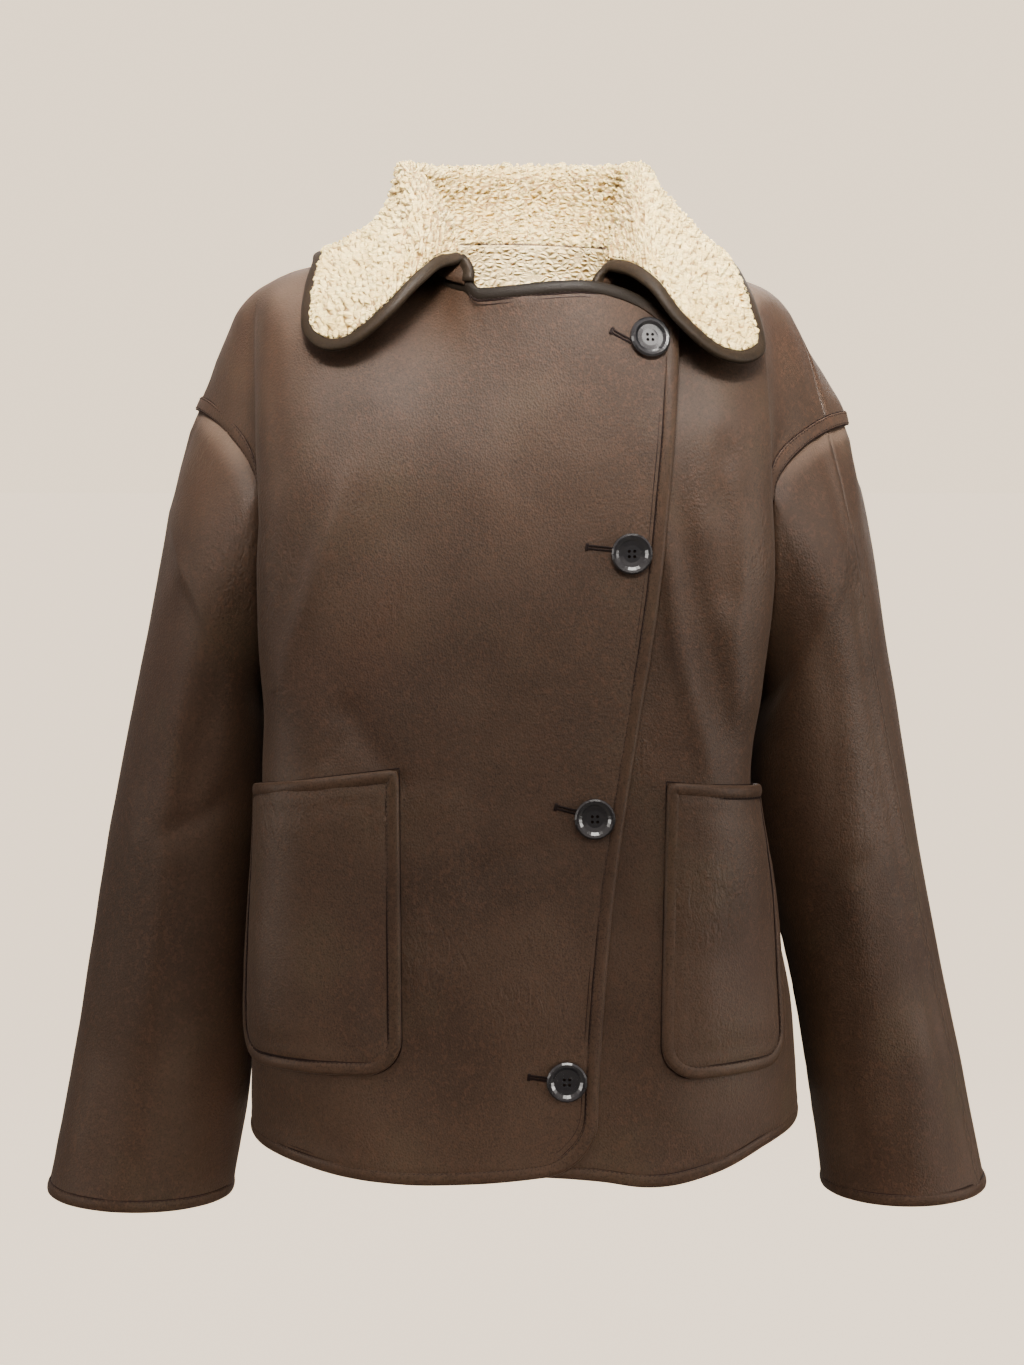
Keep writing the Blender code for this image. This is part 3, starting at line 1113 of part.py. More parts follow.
def build():
    for old in list(bpy.data.objects):
        bpy.data.objects.remove(old, do_unlink=True)
    home = collection_for(JACKET)
    helpers = collection_for("cutters")
    suede = material("suede", SUEDE, roughness=0.62)
    edge = material("suede_binding", SUEDE_EDGE, roughness=0.60)
    pile = material("sherpa_pile", PILE, roughness=0.95)
    horn = material("black_horn", BLACK_HORN, roughness=0.22)
    build_cloth(suede, home)
    build_bands(edge, home)
    build_hem_bindings(edge, home)
    build_cuffs(edge, home)
    build_collar(pile, edge, home)
    build_pockets(suede, edge, home)
    build_buttons(horn, home, helpers)


build()
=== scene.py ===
"""The looks of a sherpa lined jacket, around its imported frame: suede-like cloth with folds, seams and a fine
grain, bound and stitched edges, a curly pile on the collar and lining, horn buttons and worked buttonholes.
"""

import json
import math

import bpy
import numpy as np
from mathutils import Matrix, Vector

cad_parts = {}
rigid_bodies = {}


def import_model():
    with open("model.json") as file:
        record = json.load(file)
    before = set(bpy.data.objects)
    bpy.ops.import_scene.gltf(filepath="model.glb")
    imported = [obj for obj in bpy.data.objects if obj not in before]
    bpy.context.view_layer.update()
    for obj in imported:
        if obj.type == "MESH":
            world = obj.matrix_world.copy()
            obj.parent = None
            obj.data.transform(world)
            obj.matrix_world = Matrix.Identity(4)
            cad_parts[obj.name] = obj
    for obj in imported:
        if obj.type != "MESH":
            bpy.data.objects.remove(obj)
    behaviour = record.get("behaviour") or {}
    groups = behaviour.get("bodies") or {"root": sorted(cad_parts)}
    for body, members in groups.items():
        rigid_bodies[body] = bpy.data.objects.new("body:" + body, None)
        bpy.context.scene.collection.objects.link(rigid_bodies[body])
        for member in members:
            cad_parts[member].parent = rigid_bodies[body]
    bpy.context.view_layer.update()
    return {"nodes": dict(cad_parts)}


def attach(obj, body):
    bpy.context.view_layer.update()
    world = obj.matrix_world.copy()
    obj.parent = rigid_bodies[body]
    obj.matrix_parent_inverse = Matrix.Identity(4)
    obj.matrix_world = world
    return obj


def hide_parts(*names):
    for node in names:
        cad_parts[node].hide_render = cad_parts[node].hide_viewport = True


for old in list(bpy.data.objects):
    bpy.data.objects.remove(old, do_unlink=True)
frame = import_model()

# ---------------------------------------------------------------- sizes of the jacket's form
WALL = 0.003  # bonded cloth, suede side and pressed pile side
COLLAR_WALL = 0.005
BIND_WIDTH = 0.009
BIND_THICK = 0.0052
BAND_WIDTH = 0.0095
BAND_THICK = 0.0018
BAND_LIFT = 0.0012
BAND_FROM_SEAM = 0.0008
OVERLAP_LIFT = 0.0055  # the right front lies this far outside the left one
CROWN = 0.06  # the front and back draw in by this share towards the sides
UNDERARM_Z = -0.290
CHEST_Z = -0.152
FRONT_CORNER_RADIUS = 0.033
POCKET_CORNER_RADIUS = 0.025
COLLAR_CORNER_RADIUS = 0.020
POCKET_LIFT = 0.0024  # the pocket's wall stands this far off the front

# ---------------------------------------------------------------- tables
# The body's cross-sections, from the hem up to the chest. "right_half" is the wearer's right (-X).
SECTION_COLUMNS = (
    "z", "right_half", "left_half", "front", "back", "right_front_corner", "left_front_corner", "back_corner",
)
SECTIONS = (
    (-0.640, 0.1990, 0.2025, 0.130, 0.122, 0.112, 0.116, 0.080),
    (-0.606, 0.1985, 0.2015, 0.131, 0.120, 0.104, 0.112, 0.075),
    (-0.560, 0.1955, 0.1990, 0.131, 0.117, 0.070, 0.106, 0.066),
    (-0.515, 0.1936, 0.1940, 0.131, 0.115, 0.050, 0.094, 0.058),
    (-0.490, 0.1922, 0.1885, 0.131, 0.114, 0.046, 0.084, 0.054),
    (-0.450, 0.1898, 0.1785, 0.130, 0.112, 0.044, 0.066, 0.052),
    (-0.400, 0.1865, 0.1675, 0.129, 0.110, 0.044, 0.050, 0.051),
    (-0.355, 0.1850, 0.1620, 0.128, 0.108, 0.044, 0.044, 0.050),
    (-0.290, 0.1850, 0.1690, 0.128, 0.108, 0.044, 0.042, 0.048),
    (-0.225, 0.1852, 0.1765, 0.130, 0.110, 0.044, 0.042, 0.046),
    (-0.152, 0.1852, 0.1765, 0.131, 0.112, 0.044, 0.042, 0.046),
)

# The free edge of the upper front, from below the hem up to the neckline: z and x.
FREE_EDGE = (
    (-0.700, 0.0480),
    (-0.600, 0.0515),
    (-0.556, 0.0531),
    (-0.503, 0.0565),
    (-0.434, 0.0626),
    (-0.364, 0.0721),
    (-0.295, 0.0829),
    (-0.253, 0.0896),
    (-0.198, 0.0965),
    (-0.157, 0.1002),
    (-0.116, 0.1038),
    (-0.061, 0.1069),
    (-0.037, 0.1080),
)
UNDERLAP = 0.058  # the left front runs this far under the right one

# Each panel's hem: the share of the way from its side seam, and the height there.
HEM_FRONT_RIGHT = (
    (0.00, -0.6130),
    (0.12, -0.6185),
    (0.35, -0.6260),
    (0.55, -0.6335),
    (0.66, -0.6356),
    (0.80, -0.6336),
    (1.00, -0.6265),
)
HEM_FRONT_LEFT = (
    (0.00, -0.6060),
    (0.20, -0.6110),
    (0.35, -0.6170),
    (0.50, -0.6295),
    (0.64, -0.6370),
    (0.82, -0.6325),
    (1.00, -0.6290),
)
HEM_BACK = ((0.0, -0.613), (0.25, -0.617), (0.5, -0.619), (0.75, -0.614), (1.0, -0.606))

# Shoulder seams from the armhole to the neck: x, y and z. The left one lies further forward over the arm.
SHOULDER_RIGHT = (
    (-0.2392, 0.000, -0.0925),
    (-0.2303, 0.000, -0.0741),
    (-0.2235, 0.000, -0.0559),
    (-0.2161, 0.000, -0.0378),
    (-0.2072, 0.000, -0.0196),
    (-0.1955, 0.000, -0.0073),
    (-0.1735, 0.000, 0.0057),
    (-0.1500, 0.000, 0.0125),
    (-0.1150, 0.000, 0.0200),
    (-0.0780, 0.000, 0.0265),
)
SHOULDER_LEFT = (
    (0.2221, -0.030, -0.1075),
    (0.2198, -0.026, -0.0920),
    (0.2152, -0.020, -0.0750),
    (0.2115, -0.014, -0.0590),
    (0.2065, -0.008, -0.0440),
    (0.2005, -0.003, -0.0310),
    (0.1930, 0.000, -0.0185),
    (0.1800, 0.000, -0.0065),
    (0.1633, 0.000, 0.0008),
    (0.1450, 0.000, 0.0062),
    (0.1120, 0.000, 0.0150),
    (0.0780, 0.000, 0.0225),
)
# Necklines from the shoulder seam to the front edge, and round the back.
NECK_FRONT_RIGHT = (
    (-0.0780, 0.000, 0.0265),
    (-0.0755, -0.035, 0.0195),
    (-0.0660, -0.075, 0.0060),
    (-0.0505, -0.100, -0.0060),
    (-0.0356, -0.110, -0.0108),
    (-0.0100, -0.119, -0.0102),
    (0.0180, -0.122, -0.0076),
    (0.0455, -0.120, -0.0069),
    (0.0660, -0.115, -0.0108),
    (0.0871, -0.110, -0.0198),
    (0.1080, -0.108, -0.0370),
)
NECK_FRONT_LEFT = (
    (0.0780, 0.000, 0.0225),
    (0.0755, -0.035, 0.0155),
    (0.0680, -0.070, 0.0020),
    (0.0580, -0.092, -0.0095),
    (0.0480, -0.1035, -0.0175),
)
NECK_BACK = (
    (-0.0780, 0.000, 0.0265),
    (-0.0720, 0.028, 0.0300),
    (-0.0540, 0.054, 0.0330),
    (-0.0290, 0.068, 0.0345),
    (0.0000, 0.072, 0.0345),
    (0.0290, 0.068, 0.0335),
    (0.0540, 0.054, 0.0310),
    (0.0720, 0.028, 0.0270),
    (0.0780, 0.000, 0.0225),
)

# Armholes: depth forward and back of the arm's middle, the top point's x and z, where round the hole the
# shoulder seam meets it, and how steeply the upper quarter rises.
ARMHOLE_RIGHT = (0.0765, 0.0620, -0.2392, -0.0925, 0.500, 1.43)
ARMHOLE_LEFT = (0.0765, 0.0620, 0.2382, -0.1035, 0.436, 1.30)

# Sleeves, from just under the armhole to the cuff: x and z of the outer and of the inner point, the depths to
# the front and back, and the middle's y.
SLEEVE_RIGHT = (
    (-0.2536, -0.147, -0.1905, -0.303, 0.0810, 0.0700, 0.0000),
    (-0.2625, -0.188, -0.1895, -0.325, 0.0780, 0.0720, 0.0020),
    (-0.2740, -0.245, -0.1892, -0.352, 0.0730, 0.0720, 0.0050),
    (-0.2903, -0.320, -0.1902, -0.395, 0.0680, 0.0700, 0.0100),
    (-0.3065, -0.398, -0.1945, -0.450, 0.0640, 0.0670, 0.0150),
    (-0.3225, -0.490, -0.1995, -0.520, 0.0600, 0.0630, 0.0210),
    (-0.3395, -0.583, -0.2070, -0.598, 0.0570, 0.0590, 0.0270),
    (-0.3591, -0.678, -0.2205, -0.680, 0.0560, 0.0560, 0.0300),
)
SLEEVE_LEFT = (
    (0.2464, -0.147, 0.1790, -0.303, 0.0810, 0.0700, 0.0000),
    (0.2552, -0.188, 0.1725, -0.325, 0.0780, 0.0720, 0.0020),
    (0.2645, -0.245, 0.1690, -0.352, 0.0730, 0.0720, 0.0050),
    (0.2780, -0.320, 0.1725, -0.395, 0.0680, 0.0700, 0.0110),
    (0.2920, -0.398, 0.1860, -0.450, 0.0640, 0.0670, 0.0160),
    (0.3112, -0.490, 0.2025, -0.520, 0.0600, 0.0630, 0.0210),
    (0.3312, -0.583, 0.2172, -0.598, 0.0570, 0.0590, 0.0260),
    (0.3500, -0.673, 0.2275, -0.675, 0.0560, 0.0560, 0.0290),
)
CUFF_FRONT_DROP = 0.004
# How far round the sleeve the overarm seam lies from the outermost point, in degrees, top and cuff.
OVERARM_RIGHT = (0.0, -8.0)
OVERARM_LEFT = (53.0, 32.0)

# Large folds of the fronts and back, as lines seen from the front: x and z of the top and of the bottom,
# height (+ ridge, - trough) and half width.
FOLDS_FRONT_RIGHT = (
    (-0.1960, 0.0040, -0.1960, -0.1750, -0.0060, 0.0120),
    (-0.1760, 0.0000, -0.1770, -0.2700, 0.0035, 0.0140),
    (-0.1250, -0.3000, -0.0860, -0.3560, -0.0022, 0.0100),
    (-0.0700, -0.1000, -0.1150, -0.3300, -0.0025, 0.0260),
)
FOLDS_FRONT_LEFT = (
    (0.1860, -0.0100, 0.1880, -0.1750, -0.0060, 0.0120),
    (0.1380, -0.1200, 0.1410, -0.2300, -0.0040, 0.0110),
    (0.1340, -0.1700, 0.1520, -0.3050, 0.0035, 0.0130),
)
FOLDS_BACK = (
    (-0.1500, -0.0600, -0.1250, -0.2800, -0.0040, 0.0200),
    (0.1400, -0.0600, 0.1200, -0.2600, -0.0035, 0.0200),
    (-0.0500, -0.2800, -0.0800, -0.5200, 0.0035, 0.0260),
    (0.0600, -0.2600, 0.0850, -0.5400, 0.0030, 0.0260),
)

# The collar, a line across it at each station, from the right front end to the left one.
# Each line runs from the neck seam up the stand to the roll, and by four points down the leaf to its edge.
COLLAR = (
    (
        (-0.0335, -0.1085, -0.0085), (-0.0330, -0.1080, 0.0005), (-0.0385, -0.1075, 0.0090),
        (-0.0500, -0.1150, 0.0060), (-0.0700, -0.1300, -0.0095), (-0.0935, -0.1360, -0.0330),
        (-0.1210, -0.1310, -0.0530), (-0.1525, -0.1180, -0.0540),
    ),
    (
        (-0.0480, -0.1010, -0.0045), (-0.0490, -0.0940, 0.0120), (-0.0480, -0.0860, 0.0260),
        (-0.0590, -0.1030, 0.0280), (-0.0800, -0.1220, 0.0080), (-0.1040, -0.1250, -0.0150),
        (-0.1310, -0.1180, -0.0310), (-0.1550, -0.1040, -0.0330),
    ),
    (
        (-0.0655, -0.0745, 0.0075), (-0.0605, -0.0680, 0.0240), (-0.0548, -0.0640, 0.0425),
        (-0.0640, -0.0840, 0.0470), (-0.0850, -0.1020, 0.0210), (-0.1080, -0.0990, 0.0030),
        (-0.1330, -0.0890, -0.0080), (-0.1550, -0.0770, -0.0120),
    ),
    (
        (-0.0750, -0.0380, 0.0200), (-0.0735, -0.0340, 0.0440), (-0.0710, -0.0320, 0.0705),
        (-0.0795, -0.0440, 0.0755), (-0.0920, -0.0560, 0.0430), (-0.1110, -0.0540, 0.0240),
        (-0.1330, -0.0460, 0.0150), (-0.1520, -0.0380, 0.0110),
    ),
    (
        (-0.0776, 0.0020, 0.0272), (-0.0790, 0.0020, 0.0560), (-0.0790, 0.0020, 0.0830),
        (-0.0880, 0.0020, 0.0855), (-0.0950, 0.0010, 0.0640), (-0.1040, 0.0000, 0.0470),
        (-0.1270, 0.0000, 0.0320), (-0.1505, 0.0000, 0.0205),
    ),
    (
        (-0.0638, 0.0435, 0.0332), (-0.0665, 0.0470, 0.0600), (-0.0660, 0.0480, 0.0870),
        (-0.0735, 0.0550, 0.0890), (-0.0805, 0.0640, 0.0620), (-0.0930, 0.0720, 0.0430),
        (-0.1080, 0.0790, 0.0280), (-0.1200, 0.0850, 0.0140),
    ),
    (
        (0.0000, 0.0716, 0.0358), (0.0000, 0.0765, 0.0640), (0.0000, 0.0770, 0.0910),
        (0.0000, 0.0870, 0.0930), (0.0000, 0.0990, 0.0660), (0.0000, 0.1090, 0.0420),
        (0.0000, 0.1180, 0.0220), (0.0000, 0.1260, 0.0030),
    ),
    (
        (0.0638, 0.0435, 0.0306), (0.0665, 0.0470, 0.0590), (0.0660, 0.0480, 0.0870),
        (0.0740, 0.0550, 0.0890), (0.0830, 0.0640, 0.0600), (0.0960, 0.0720, 0.0390),
        (0.1110, 0.0780, 0.0230), (0.1240, 0.0830, 0.0080),
    ),
    (
        (0.0776, 0.0020, 0.0235), (0.0785, 0.0020, 0.0540), (0.0765, 0.0020, 0.0830),
        (0.0855, 0.0020, 0.0855), (0.0990, 0.0000, 0.0670), (0.1150, -0.0020, 0.0480),
        (0.1350, -0.0040, 0.0280), (0.1515, -0.0060, 0.0135),
    ),
    (
        (0.0750, -0.0380, 0.0160), (0.0735, -0.0340, 0.0430), (0.0725, -0.0300, 0.0700),
        (0.0815, -0.0400, 0.0750), (0.0990, -0.0540, 0.0510), (0.1190, -0.0580, 0.0270),
        (0.1405, -0.0550, 0.0080), (0.1610, -0.0500, -0.0060),
    ),
    (
        (0.0672, -0.0725, 0.0030), (0.0670, -0.0670, 0.0240), (0.0665, -0.0620, 0.0440),
        (0.0760, -0.0790, 0.0470), (0.0965, -0.0985, 0.0240), (0.1180, -0.1010, -0.0010),
        (0.1425, -0.0960, -0.0210), (0.1670, -0.0860, -0.0320),
    ),
    (
        (0.0570, -0.0935, -0.0070), (0.0580, -0.0890, 0.0070), (0.0590, -0.0870, 0.0180),
        (0.0700, -0.1010, 0.0195), (0.0890, -0.1210, 0.0040), (0.1120, -0.1260, -0.0240),
        (0.1390, -0.1200, -0.0440), (0.1690, -0.1060, -0.0520),
    ),
    (
        (0.0440, -0.1050, -0.0130), (0.0470, -0.1045, -0.0050), (0.0545, -0.1060, 0.0015),
        (0.0655, -0.1150, -0.0005), (0.0850, -0.1310, -0.0130), (0.1070, -0.1380, -0.0380),
        (0.1340, -0.1350, -0.0590), (0.1680, -0.1180, -0.0640),
    ),
)

# Pockets: the width round the body, how much they are drawn in half way down, the inner edge's x at top and
# bottom, and the heights of the top edge and of the bottom edge, each at its inner and outer end.
POCKETS = {
    "right": (0.132, 0.0, -0.0860, -0.0843, -0.3425, -0.3590, -0.5575, -0.5540),
    "left": (0.108, 0.075, 0.0990, 0.0952, -0.3520, -0.3600, -0.5610, -0.5580),
}

# The share of each panel's columns that its shoulder seam takes.
SHOULDER_SHARE = {"front_right": 0.36, "front_left": 0.56, "back": 0.27}


# ---------------------------------------------------------------- curves and lines
def smooth(at, knots, values):
    """A smooth curve through values (numbers or points) given at knots."""
    knots = np.asarray(knots, float)
    values = np.asarray(values, float)
    slopes = np.gradient(values, knots, axis=0)
    at = np.clip(np.asarray(at, float), knots[0], knots[-1])
    left = np.clip(np.searchsorted(knots, at, side="right") - 1, 0, len(knots) - 2)
    step = knots[left + 1] - knots[left]
    part = (at - knots[left]) / step
    wide = part.shape + (1,) * (values.ndim - 1)
    part = part.reshape(wide)
    step = step.reshape(wide)
    rest = 1 - part
    ends = (1 + 2 * part) * rest**2 * values[left] + part**2 * (3 - 2 * part) * values[left + 1]
    return ends + step * part * rest * (rest * slopes[left] - part * slopes[left + 1])


def eased(value):
    """0 to 1 with a soft start and end."""
    value = np.clip(value, 0, 1)
    return value * value * (3 - 2 * value)


def along(points, count):
    """Points spread evenly along a smooth line through the given ones."""
    points = np.asarray(points, float)
    steps = np.linalg.norm(np.diff(points, axis=0), axis=1)
    at = np.concatenate([[0], np.cumsum(steps)])
    return smooth(np.linspace(0, at[-1], count), at, points)


def unit(vectors):
    return vectors / np.maximum(np.linalg.norm(vectors, axis=-1, keepdims=True), 1e-12)


def section(z):
    """The body's sizes at heights z, by column name."""
    table = np.array(SECTIONS)
    return {name: smooth(z, table[:, 0], table[:, i]) for i, name in enumerate(SECTION_COLUMNS)}


def looked_up(table, at):
    """A smooth value from a table with two columns."""
    table = np.array(table)
    return smooth(at, table[:, 0], table[:, 1])


def free_edge(z):
    return looked_up(FREE_EDGE, z)


def rounding(inside, radius):
    """How far a line draws back for a rounded corner, where it lies this far inside the corner's square."""
    return radius - np.sqrt(radius**2 - np.clip(inside, 0, radius) ** 2)


# ---------------------------------------------------------------- the body's surface
def body_arc(arc, half, depth, corner):
    """From the side seam (arc 0) along the side, round the corner and across: x and depth from the middle."""
    straight = depth - corner
    angle = np.clip((arc - straight) / corner, 0, math.pi / 2)
    across = np.maximum(arc - straight - corner * math.pi / 2, 0)
    x = half - corner * (1 - np.cos(angle)) - across
    y = np.clip(arc, 0, straight) + corner * np.sin(angle)
    return x, y * (1 - CROWN * (x / half) ** 2)


def quarter(side, face, z):
    """Half width, depth and corner radius at z. side is -1 for -X, face is -1 for the front, else 1."""
    sizes = section(z)
    word = "right" if side < 0 else "left"
    if face < 0:
        return sizes[f"{word}_half"], sizes["front"], sizes[f"{word}_front_corner"]
    return sizes[f"{word}_half"], sizes["back"], sizes["back_corner"]


def on_body(side, face, z, end_x, arc_of):
    """Points on the body at z. arc_of turns the whole arc, from the side seam to end_x, into theirs."""
    half, depth, corner = quarter(side, face, z)
    whole = depth - corner + corner * math.pi / 2 + (half - corner) - side * end_x
    x, y = body_arc(arc_of(whole), half, depth, corner)
    return np.stack(np.broadcast_arrays(side * x, face * y, z), axis=-1)


def armhole(side, place):
    """The armhole's line: place is 0 and 1 at the underarm, 0.25 in front, 0.5 on top and 0.75 behind."""
    front, back, top_x, top_z, _, steep = ARMHOLE_RIGHT if side < 0 else ARMHOLE_LEFT
    place = np.asarray(place, float)
    face = np.where(place <= 0.5, -1.0, 1.0)
    reach = np.where(place <= 0.5, front, back)
    turn = np.where(place <= 0.5, place, 1 - place) * 2 * math.pi
    lower = turn <= math.pi / 2
    sine = np.clip(np.sin(np.where(lower, turn, math.pi - turn)), 0, 1)
    rise = np.clip(np.sin(np.where(lower, 0, turn - math.pi / 2)), 0, 1) ** steep
    inward = 1 - np.clip(np.cos(np.where(lower, 0, turn - math.pi / 2)), 0, 1) ** steep
    drop = np.cos(np.where(lower, turn, math.pi / 2))
    z = np.where(lower, CHEST_Z - (CHEST_Z - UNDERARM_Z) * drop, CHEST_Z + (top_z - CHEST_Z) * rise)
    wall_x = side * quarter(side, -1, np.minimum(z, CHEST_Z))[0]
    x = wall_x + (top_x - wall_x) * inward
    return np.stack([x, face * reach * sine, z], axis=-1)


def line_relief(points, table, waver=0.004, fade=(3.0, 0.35)):
    """Soft ridges (+) and troughs (-) along the lines of a table, wavering and faded out at their ends."""
    relief = 0.0
    for x0, z0, x1, z1, height, half_width in table:
        run = np.array([x1 - x0, z1 - z0])
        length = np.linalg.norm(run)
        run = run / length
        dx, dz = points[..., 0] - x0, points[..., 2] - z0
        down = (dx * run[0] + dz * run[1]) / length
        off = dx * run[1] - dz * run[0] + waver * np.sin(down * 5.0 + x0 * 90)
        ends = eased(down * fade[0] + fade[1]) * eased((1 - down) * fade[0] + fade[1])
        relief = relief + height * ends * np.exp(-((off / half_width) ** 2))
    return relief


def folded(points, normals, folds):
    """Moves points along their normals by the large folds of a table, one after the other."""
    for fold in folds:
        points = points + line_relief(points, (fold,), 0.0, (3.5, 0.6))[..., None] * normals
    return points


def arch_slope(line):
    """How much y changes with z where the arched chest of the right front reaches the neckline."""
    half, depth, _ = quarter(-1, -1, CHEST_Z)
    chest = -depth * (1 - CROWN * (line[:, 0] / half) ** 2)
    turn = np.arccos(np.clip(line[:, 1] / chest, 0, 0.99))
    forward = (line[:, 1] - chest) * np.sin(turn) / (1 - np.cos(turn))
    upward = (line[:, 2] - CHEST_Z) * np.cos(turn) / np.sin(turn)
    return forward / upward


HEM_WIDTH = 0.33  # of the upper front
ROW_SPREAD = {"hem": 1.25, "armhole": 0.8}  # rows lie closer together at the hem and at the chest
DRAWN_TO_ARMHOLE = {"front": 0.30, "back": 0.17}  # the share of a row that bends to meet the armhole
FREE_OF_FOLDS = {"front": 0.06, "back": 0.05}  # the share of a row, at the side seam, where folds fade out


class Panel:
    """One cut piece of the body, as a grid of points from its hem up to its shoulder and neck."""

    def __init__(self, name, rows, columns, bound=0.0):
        self.name = name
        self.rows = rows
        self.columns = columns
        self.bound = bound  # how far the bound edges are drawn in
        self.points = self.make()
        self.normals = grid_normals(self.points) * self.outward()

    def outward(self):
        return 1.0 if self.name == "front_right" else -1.0

    def shares(self):
        """Column places from 0 to 1: evenly over the shoulder, then evenly over the neckline."""
        at_neck = SHOULDER_SHARE[self.name]
        shoulder, neck = self.columns
        if self.name == "back":
            parts = (
                np.linspace(0, at_neck, shoulder + 1)[:-1],
                np.linspace(at_neck, 1 - at_neck, neck + 1)[:-1],
                np.linspace(1 - at_neck, 1, shoulder + 1),
            )
            return np.concatenate(parts)
        return np.concatenate([np.linspace(0, at_neck, shoulder + 1)[:-1], np.linspace(at_neck, 1, neck + 1)])

    def top_line(self):
        """The shoulder seam and the neckline, a point for each column."""
        shoulder, neck = self.columns
        if self.name == "back":
            right = along(SHOULDER_RIGHT, shoulder + 1)
            left = along(SHOULDER_LEFT, shoulder + 1)[::-1]
            return np.concatenate([right[:-1], along(NECK_BACK, neck + 1)[:-1], left])
        right = self.name == "front_right"
        seam = along(SHOULDER_RIGHT if right else SHOULDER_LEFT, shoulder + 1)
        line = along(NECK_FRONT_RIGHT if right else NECK_FRONT_LEFT, 201)
        if right:
            run = unit(np.gradient(line[:, [0, 2]], axis=0))
            inward = np.stack([run[:, 1], -run[:, 0] * arch_slope(line), -run[:, 0]], axis=1)
            line = line + (eased((line[:, 0] + 0.040) / 0.008) * self.bound)[:, None] * inward
            line = line[line[:, 0] <= free_edge(line[:, 2]) - self.bound]
        return np.concatenate([seam[:-1], along(line, neck + 1)])

    def lower(self, side, face, share, hem, end_of_row):
        """The rows from the hem to the chest, for one side of the body."""
        rows = []
        for step in range(self.rows[0]):
            z = hem + (UNDERARM_Z - hem) * (step / self.rows[0]) ** ROW_SPREAD["hem"]
            rows.append(on_body(side, face, z, end_of_row(z), lambda whole: share * whole))
        for step in range(self.rows[1] + 1):
            place = 0.25 * (step / self.rows[1]) ** ROW_SPREAD["armhole"]
            mark = armhole(side, place if face < 0 else 1 - place)
            z = np.full(share.shape, mark[2])
            start = abs(mark[1]) / (1 - CROWN)
            rows.append(on_body(side, face, z, end_of_row(z), lambda whole: start + share * (whole - start)))
        return rows

    def upper(self, chest, top, corrections, end_of_row=None):
        """The arched rows from the chest to the shoulder seam and the neckline."""
        towards_end = eased((self.shares() - 0.45) / 0.55)
        ratio = np.clip(top[:, 1] / chest[:, 1], -1, 1)
        turn_all = np.arccos(ratio)
        rows = []
        for step in range(1, self.rows[2] + 1):
            turn = turn_all * step / self.rows[2]
            over = ((1 - np.cos(turn)) / (1 - np.cos(turn_all)))[:, None]
            up = np.sin(turn) / np.sin(turn_all)
            row = chest + (top - chest) * over
            row[:, 2] = chest[:, 2] + (top[:, 2] - chest[:, 2]) * up
            for side, face, weight, column in corrections:
                seam = (ARMHOLE_RIGHT if side < 0 else ARMHOLE_LEFT)[4]
                first, last = (0.25, seam) if face < 0 else (0.75, seam)
                mark = armhole(side, first + (last - first) * step / self.rows[2])
                row = row + weight[:, None] * (mark - row[column])
            if end_of_row is not None and step < self.rows[2]:
                row[:, 0] += towards_end * (end_of_row(row[:, 2]) - row[-1, 0])
            rows.append(row)
        return rows

    def make(self):
        share = self.shares()
        top = self.top_line()
        if self.name == "back":
            return self.make_back(share, top)
        side = -1 if self.name == "front_right" else 1
        if side < 0:
            hem = looked_up(HEM_FRONT_RIGHT, share) + self.bound
            from_edge_on = HEM_WIDTH * (1 - share) + FRONT_CORNER_RADIUS * (1 - math.sqrt(0.5))
            hem = hem + rounding(FRONT_CORNER_RADIUS - from_edge_on, FRONT_CORNER_RADIUS)
            floor = looked_up(HEM_FRONT_RIGHT, 1.0) + self.bound

            def end_of_row(z):
                drawn = rounding(floor + FRONT_CORNER_RADIUS - z[-1], FRONT_CORNER_RADIUS)
                return free_edge(z[-1]) - drawn - self.bound
        else:
            hem = looked_up(HEM_FRONT_LEFT, share) + self.bound

            def end_of_row(z):
                return free_edge(z[-1]) - UNDERLAP

        rows = self.lower(side, -1, share, hem, end_of_row)
        to_armhole = ((side, -1, 1 - eased(share / DRAWN_TO_ARMHOLE["front"]), 0),)
        rows += self.upper(rows[-1], top, to_armhole, end_of_row if side < 0 else None)
        points = self.lapped(np.array(rows))
        normals = grid_normals(points) * self.outward()
        mask = eased(share / FREE_OF_FOLDS["front"])[None, :, None] * self.below_seam()
        folds = FOLDS_FRONT_RIGHT if side < 0 else FOLDS_FRONT_LEFT
        return points + (folded(points, normals, folds) - points) * mask

    def below_seam(self):
        """A row weight that keeps the shoulder seam itself free of folds."""
        fading = self.rows[2] * 0.4
        return (1 - eased((np.arange(sum(self.rows) + 1) - sum(self.rows) + fading) / fading))[:, None, None]

    def lapped(self, points):
        """Lifts the upper front, or sinks the under one, where the two overlap."""
        points = points.copy()
        edge = free_edge(points[..., 2])
        if self.name == "front_right":
            lift = 0.55 * eased((points[..., 0] - edge + 0.115) / 0.055)
        else:
            lift = -0.45 * eased((edge + 0.030 - points[..., 0]) / 0.028)
        points[..., 1] -= OVERLAP_LIFT * lift * eased((-points[..., 1] - 0.02) / 0.06)
        return points

